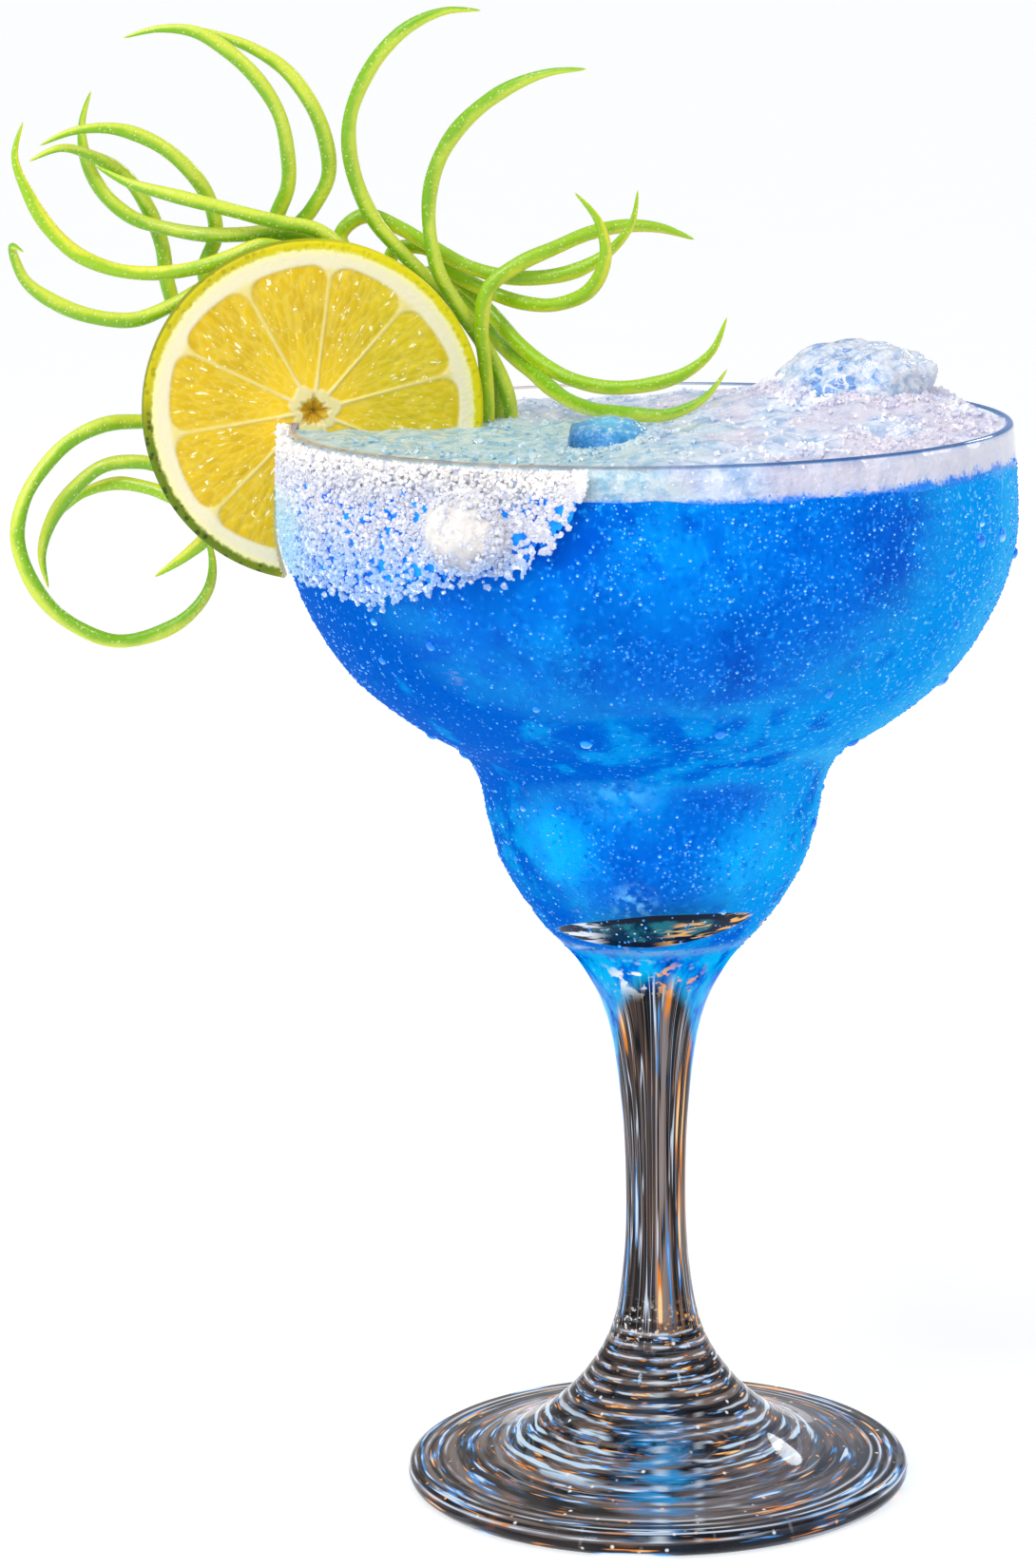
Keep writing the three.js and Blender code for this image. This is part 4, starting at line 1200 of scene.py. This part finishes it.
# Painted glow: some from flesh and core, full on the slit's cut faces to lighten their shade.
glowing = citrus.maths("MAXIMUM", flesh * 0.3 + throat * 0.3, in_slit)
citrus_finish = citrus.done(citrus.body(colour, 0.5 - 0.3 * flesh, {
    "Specular IOR Level": 0.3,
    "Normal": citrus.bump(citrus.noise(0.7, 3) + glands * -0.8 * edge, 0.25, 0.6),
}, (citrus.coats(BLACK, (colour, glowing)), 0.35), (0.2, (1.0, 0.75, 0.2), 0.002)))
settle(wheel, citrus_finish, "citrus", "citrus_wheel")

# %% [markdown]
# ## Curls of zest
# Each strip of peel is a section carried along a path. The solid in the frame already holds that path:
# its corners lie in rings of six, one after the other, so the middle of each ring is a point of the
# strip's centre line. A corner's ring is its number of steps along the edges from the end point. That
# walk is done for whole arrays of faces at a time.

# %% Paths of the strips
ROOT_HEIGHT = 163.8


def steps_from(start, faces, count):
    """For each corner, how many edges away it is from the start."""
    ring = np.full(count, -1)
    ring[start] = 0
    for step in range(count):
        touched = faces[(ring[faces] == step).any(1)]
        fresh = touched[ring[touched] < 0]
        if not len(fresh):
            return ring
        ring[fresh] = step + 1


def centre_line(node):
    """The middles of a strip's rings of corners, from its root in the ice to its free end."""
    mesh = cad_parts[node].data
    raw, corners = np.empty(len(mesh.vertices) * 3), np.empty(len(mesh.loops), int)
    mesh.vertices.foreach_get("co", raw)
    mesh.loops.foreach_get("vertex_index", corners)
    points, index = np.unique(np.round(raw.reshape(-1, 3) / MM, 3), axis=0, return_inverse=True)
    faces = index.reshape(-1)[corners].reshape(-1, 3)
    one_end = steps_from(0, faces, len(points)).argmax()
    ring = steps_from(one_end, faces, len(points))
    middles = np.array([points[ring == k].mean(0) for k in range(ring.max() + 1)])
    from_root = abs(middles[0, 2] - ROOT_HEIGHT) < abs(middles[-1, 2] - ROOT_HEIGHT)
    return middles if from_root else middles[::-1]


STRIPS = sorted(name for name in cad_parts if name.startswith("zest_"))
lines = {name: centre_line(name) for name in STRIPS}
print(len(lines), "strips, the longest in", max(map(len, lines.values())), "rings")

# %% [markdown]
# The section is peel: round-backed and green outside, flatter and paler inside. It thins to a point over
# the last sixth, and swells and shrinks a little on the way, as a hand-cut strip does. The directions
# across the path come from cross products with the Y axis, because the curls all face the front.

# %% Strips
STRIP_WIDTH, STRIP_SIDES = 2.3, 14


def strip_rings(path, seed):
    """Ring k = centre + side x cos + normal x sin, flattened on the inside and narrowed to the tip."""
    along = unit(np.gradient(path, axis=0))
    side = unit(np.cross(along, [0, 1, 0]))
    normal = np.cross(along, side)
    share = np.linspace(0, 1, len(path))[:, None]
    length = np.linalg.norm(np.diff(path, axis=0), axis=1).sum()
    taper = np.clip((1 - share) / 0.17, 0, 1) ** 0.62
    draw = np.random.default_rng(seed)
    wobble = 1 + 0.05 * np.sin(share * length / 5 + draw.uniform(0, 6)) + 0.03 * np.sin(share * length / 1.7)
    around = circle(STRIP_SIDES) + 0.5 * np.sin(share * 5 + seed)
    half = STRIP_WIDTH / 2 * taper * wobble
    across, out = half * np.cos(around), half * 0.88 * np.sin(around) * (1 - 0.12 * (np.cos(around) < 0))
    rings = path[:, None] + across[..., None] * side[:, None] + out[..., None] * normal[:, None]
    return rings, share + 0 * around, np.cos(around)


def make_strip(name, path, finish, slot, seed):
    """A strip of peel whose points know their share of the way and which side they are on."""
    fine = smooth_path(path, 8 * len(path))
    rings, share, facing = strip_rings(fine[:-1], seed)
    share, facing = np.append(share.ravel(), [0, 1]), np.append(facing.ravel(), [0, 0])
    points, faces = loft(rings, fine[0] - 0.15 * (fine[1] - fine[0]), fine[-1])
    piece = put_in_scene(name.replace("zest", "peel"), points, faces, share=share, facing=facing)
    settle(piece, finish, slot, name)

# %% [markdown]
# Peel is waxy and bright: leaf green on the outside, yellow-green inside and along the edges, with oil
# glands as fine pale dots. Some strips are nearly yellow. Near the root it is darker.

# %% Peel finishes
def peel_finish(name, green, yellow, yellow_share):
    """Green outside and yellow inside; the share moves the border between them."""
    peel = Finish(name)
    inner = peel.stored("facing") + (peel.noise(7, 3) - 0.5) * 2.2
    dots = peel.cells(0.75).step(0.34, 0.1)
    tone = peel.coats(
        green,
        (yellow, inner.step(0.6 - yellow_share * 1.6, -0.5 - yellow_share)),
        ((60, 120, 8), peel.stored("share").step(0.12, 0.02) * 0.7),
        ((240, 246, 160), dots * 0.6),
    )
    return peel.done(peel.body(tone, 0.33, {
        "Coat Weight": 0.25, "Coat Roughness": 0.2,
        "Normal": peel.bump(peel.noise(0.9, 3) - dots * 0.5, 0.22, 0.8),
    }, scatter=(0.3, (0.7, 1.0, 0.15), 0.0015)))


green_peel = peel_finish("green_peel", (132, 188, 12), (214, 228, 72), 0.08)
yellow_peel = peel_finish("yellow_peel", (160, 204, 18), (232, 232, 60), 0.4)
YELLOWISH = {
    "zest_left_sweep", "zest_right_arch", "zest_right_sweep", "zest_right_hook", "zest_low_upper",
    "zest_ring_inner", "zest_spike",
}
for seed, name in enumerate(STRIPS):
    finish, slot = (yellow_peel, "zest_yellow") if name in YELLOWISH else (green_peel, "zest_green")
    make_strip(name, lines[name], finish, slot, seed)

# %% [markdown]
# ## Mist and drops on the cold glass
# A cold glass beads over with water. Each bead is a low dome on the wall: rings of a flattened cap, turned
# so that its axis is the wall's normal. Thousands are tiny, and a few have grown large enough to run.

# %% Water beads
def bead_shape(sides, tall=0.62, sunk=-0.05):
    """A dome of two rings and a top, with a flat underside."""
    low, high = polar_points(1, circle(sides), sunk), polar_points(0.72, circle(sides), 0.68 * tall)
    points = np.vstack([low, high, [[0, 0, tall]], [[0, 0, sunk]]])
    ring, beside = np.arange(sides), np.roll(np.arange(sides), -1)
    top, under = np.full(sides, 2 * sides), np.full(sides, 2 * sides + 1)
    corners = [
        (ring, beside, beside + sides), (ring, beside + sides, ring + sides),
        (ring + sides, beside + sides, top), (beside, ring, under),
    ]
    return points, np.concatenate([np.stack(three, -1) for three in corners])


def beads(name, count, sizes, span, draw, sides, rarity):
    """Beads spread over the bowl's outside, none on the salt. Small ones outnumber large ones."""
    height, degrees = draw.uniform(*span, count), draw.uniform(0, 360, count)
    salted = (degrees > SALT_FROM - 2) & (degrees < SALT_TO + 1)
    salted &= height > SALT_TOP - salt_reach(degrees) - 1
    to_right, share = np.cos(np.radians(degrees)), draw.uniform(0, 1, count)
    kept = ~salted & (share < wall_radius(outer_wall, height) / 56 * (0.42 + 0.58 * np.abs(to_right) ** 2))
    degrees, height = degrees[kept], height[kept]
    size = sizes[0] + (sizes[1] - sizes[0]) * draw.uniform(0, 1, len(height)) ** rarity
    slope = (wall_radius(outer_wall, height + 0.2) - wall_radius(outer_wall, height - 0.2)) / 0.4
    angle = np.radians(degrees)
    outward = unit(polar_points(1, angle, -slope))
    level = np.stack([-np.sin(angle), np.cos(angle), 0 * angle], -1)
    turns = np.stack([level, np.cross(outward, level), outward], -1)
    shape, faces = bead_shape(sides)
    ones = np.ones(len(size))
    stretch = size[:, None] * np.stack([ones, draw.uniform(0.95, 1.25, len(size)), ones], -1)
    rise = np.tile(shape[:, 1], len(size))
    tone = np.repeat(draw.uniform(0, 1, len(size)), len(shape))
    places = on_wall(degrees, height, 0)
    return scattered(name, shape, faces, places, turns, stretch, smooth=True, rise=rise, tone=tone)

# %% [markdown]
# A drop on a blue glass is a small upside-down lens. Its lower side is bright with the light from above
# and its upper side is dark. Rendering that by bending light through thousands of tiny domes is slow and
# grainy, so the domes carry it as painted light and shade, partly given out as light: the rise within each
# drop is stored at its points.

# %% Water finish
water = Finish("water")
rise, tone = water.stored("rise"), water.stored("tone")
deep = water.coats((0, 100, 212), ((20, 150, 242), tone))
bright = water.coats((40, 160, 244), ((196, 234, 255), tone.step(0.25, 0.85)))
colour = water.coats(bright, (deep, rise.step(-0.7, 0.35)))
water_finish = water.done(water.body(colour, 0.05, glow=(colour, 0.25)))
mist = beads("fine_mist", 14500, (0.1, 0.3), (86, RIM_HEIGHT - 4.5), chance, 6, 1.6)
settle(mist, water_finish, "glass")
drops = beads("water_drops", 150, (0.5, 1.1), (90, RIM_HEIGHT - 6), chance, 16, 1.2)
settle(drops, water_finish, "glass")

# %% [markdown]
# ## Floor, lamps and sky
# The object is photographed on white. The floor is pale and runs past the picture's edges, and the sky
# behind it is as bright as the lit floor, so that no horizon shows. A broad sun from the upper left front
# models the forms. Small lamps, one warm and one cold, put sparkles on wet ice, drops and glass.

# %% Stage
FLOOR_TOP, FLOOR_BOTTOM, FLOOR_REACH = -0.02, -8, 9000
BOWL_PLACE = (0, 0, 0.13)


def make_floor():
    """A wide round slab just under the glass's foot."""
    reach = np.linspace(50, FLOOR_REACH, 40)
    rings = turned(np.stack([reach, np.full(40, FLOOR_TOP)], -1), 64)
    floor = put_in_scene("floor", *loft(rings, (0, 0, FLOOR_TOP), (0, 0, FLOOR_BOTTOM)))
    pale = Finish("pale_floor")
    tone = pale.coats((0.88, 0.88, 0.88, 1), ((0.9, 0.9, 0.9, 1), pale.noise(60, 2)))
    finish = pale.done(pale.body(tone, 0.7, {"Specular IOR Level": 0.1}, glow=((1, 1, 1, 1), 0.22)))
    floor.data.materials.append(finish)


def lamp(name, kind, place, power, size, colour=(1, 1, 1)):
    """A lamp that looks at the bowl. The size of a sun is its angle in degrees, that of a disk is metres."""
    data = bpy.data.lights.new(name, kind)
    data.energy, data.color = power, colour
    if kind == "SUN":
        data.angle = math.radians(size)
    else:
        data.shape, data.size = "DISK", size
    made = bpy.data.objects.new(name, data)
    made.location = place
    made.rotation_euler = (Vector(BOWL_PLACE) - Vector(place)).to_track_quat("-Z", "Y").to_euler()
    bpy.context.scene.collection.objects.link(made)


make_floor()
lamp("soft_sun", "SUN", (-0.8, -1.0, 1.7), 1.5, 60)
lamp("warm_spark", "AREA", (0.55, -0.5, 0.75), 1.2, 0.1, (1.0, 0.86, 0.66))
lamp("cold_spark", "AREA", (-0.45, -0.6, 0.8), 1.4, 0.1, (0.86, 0.94, 1.0))
lamp("back_spark", "AREA", (0.5, 0.8, 0.6), 1.6, 0.2)

sky = bpy.data.worlds.new("sky")
sky.use_nodes = True
parts = sky.node_tree.nodes
seen, path, both = parts["Background"], parts.new("ShaderNodeLightPath"), parts.new("ShaderNodeMixShader")
around = parts.new("ShaderNodeBackground")
for node, colour, strength in ((seen, (1, 1, 1, 1), 1.0), (around, (0.96, 0.98, 1.0, 1), 0.52)):
    node.inputs[0].default_value, node.inputs[1].default_value = colour, strength
joins = [
    (path.outputs["Is Camera Ray"], both.inputs[0]), (around.outputs[0], both.inputs[1]),
    (seen.outputs[0], both.inputs[2]), (both.outputs[0], parts["World Output"].inputs[0]),
]
for socket, target in joins:
    sky.node_tree.links.new(socket, target)
bpy.context.scene.world = sky
bpy.context.scene.view_settings.view_transform = "Standard"
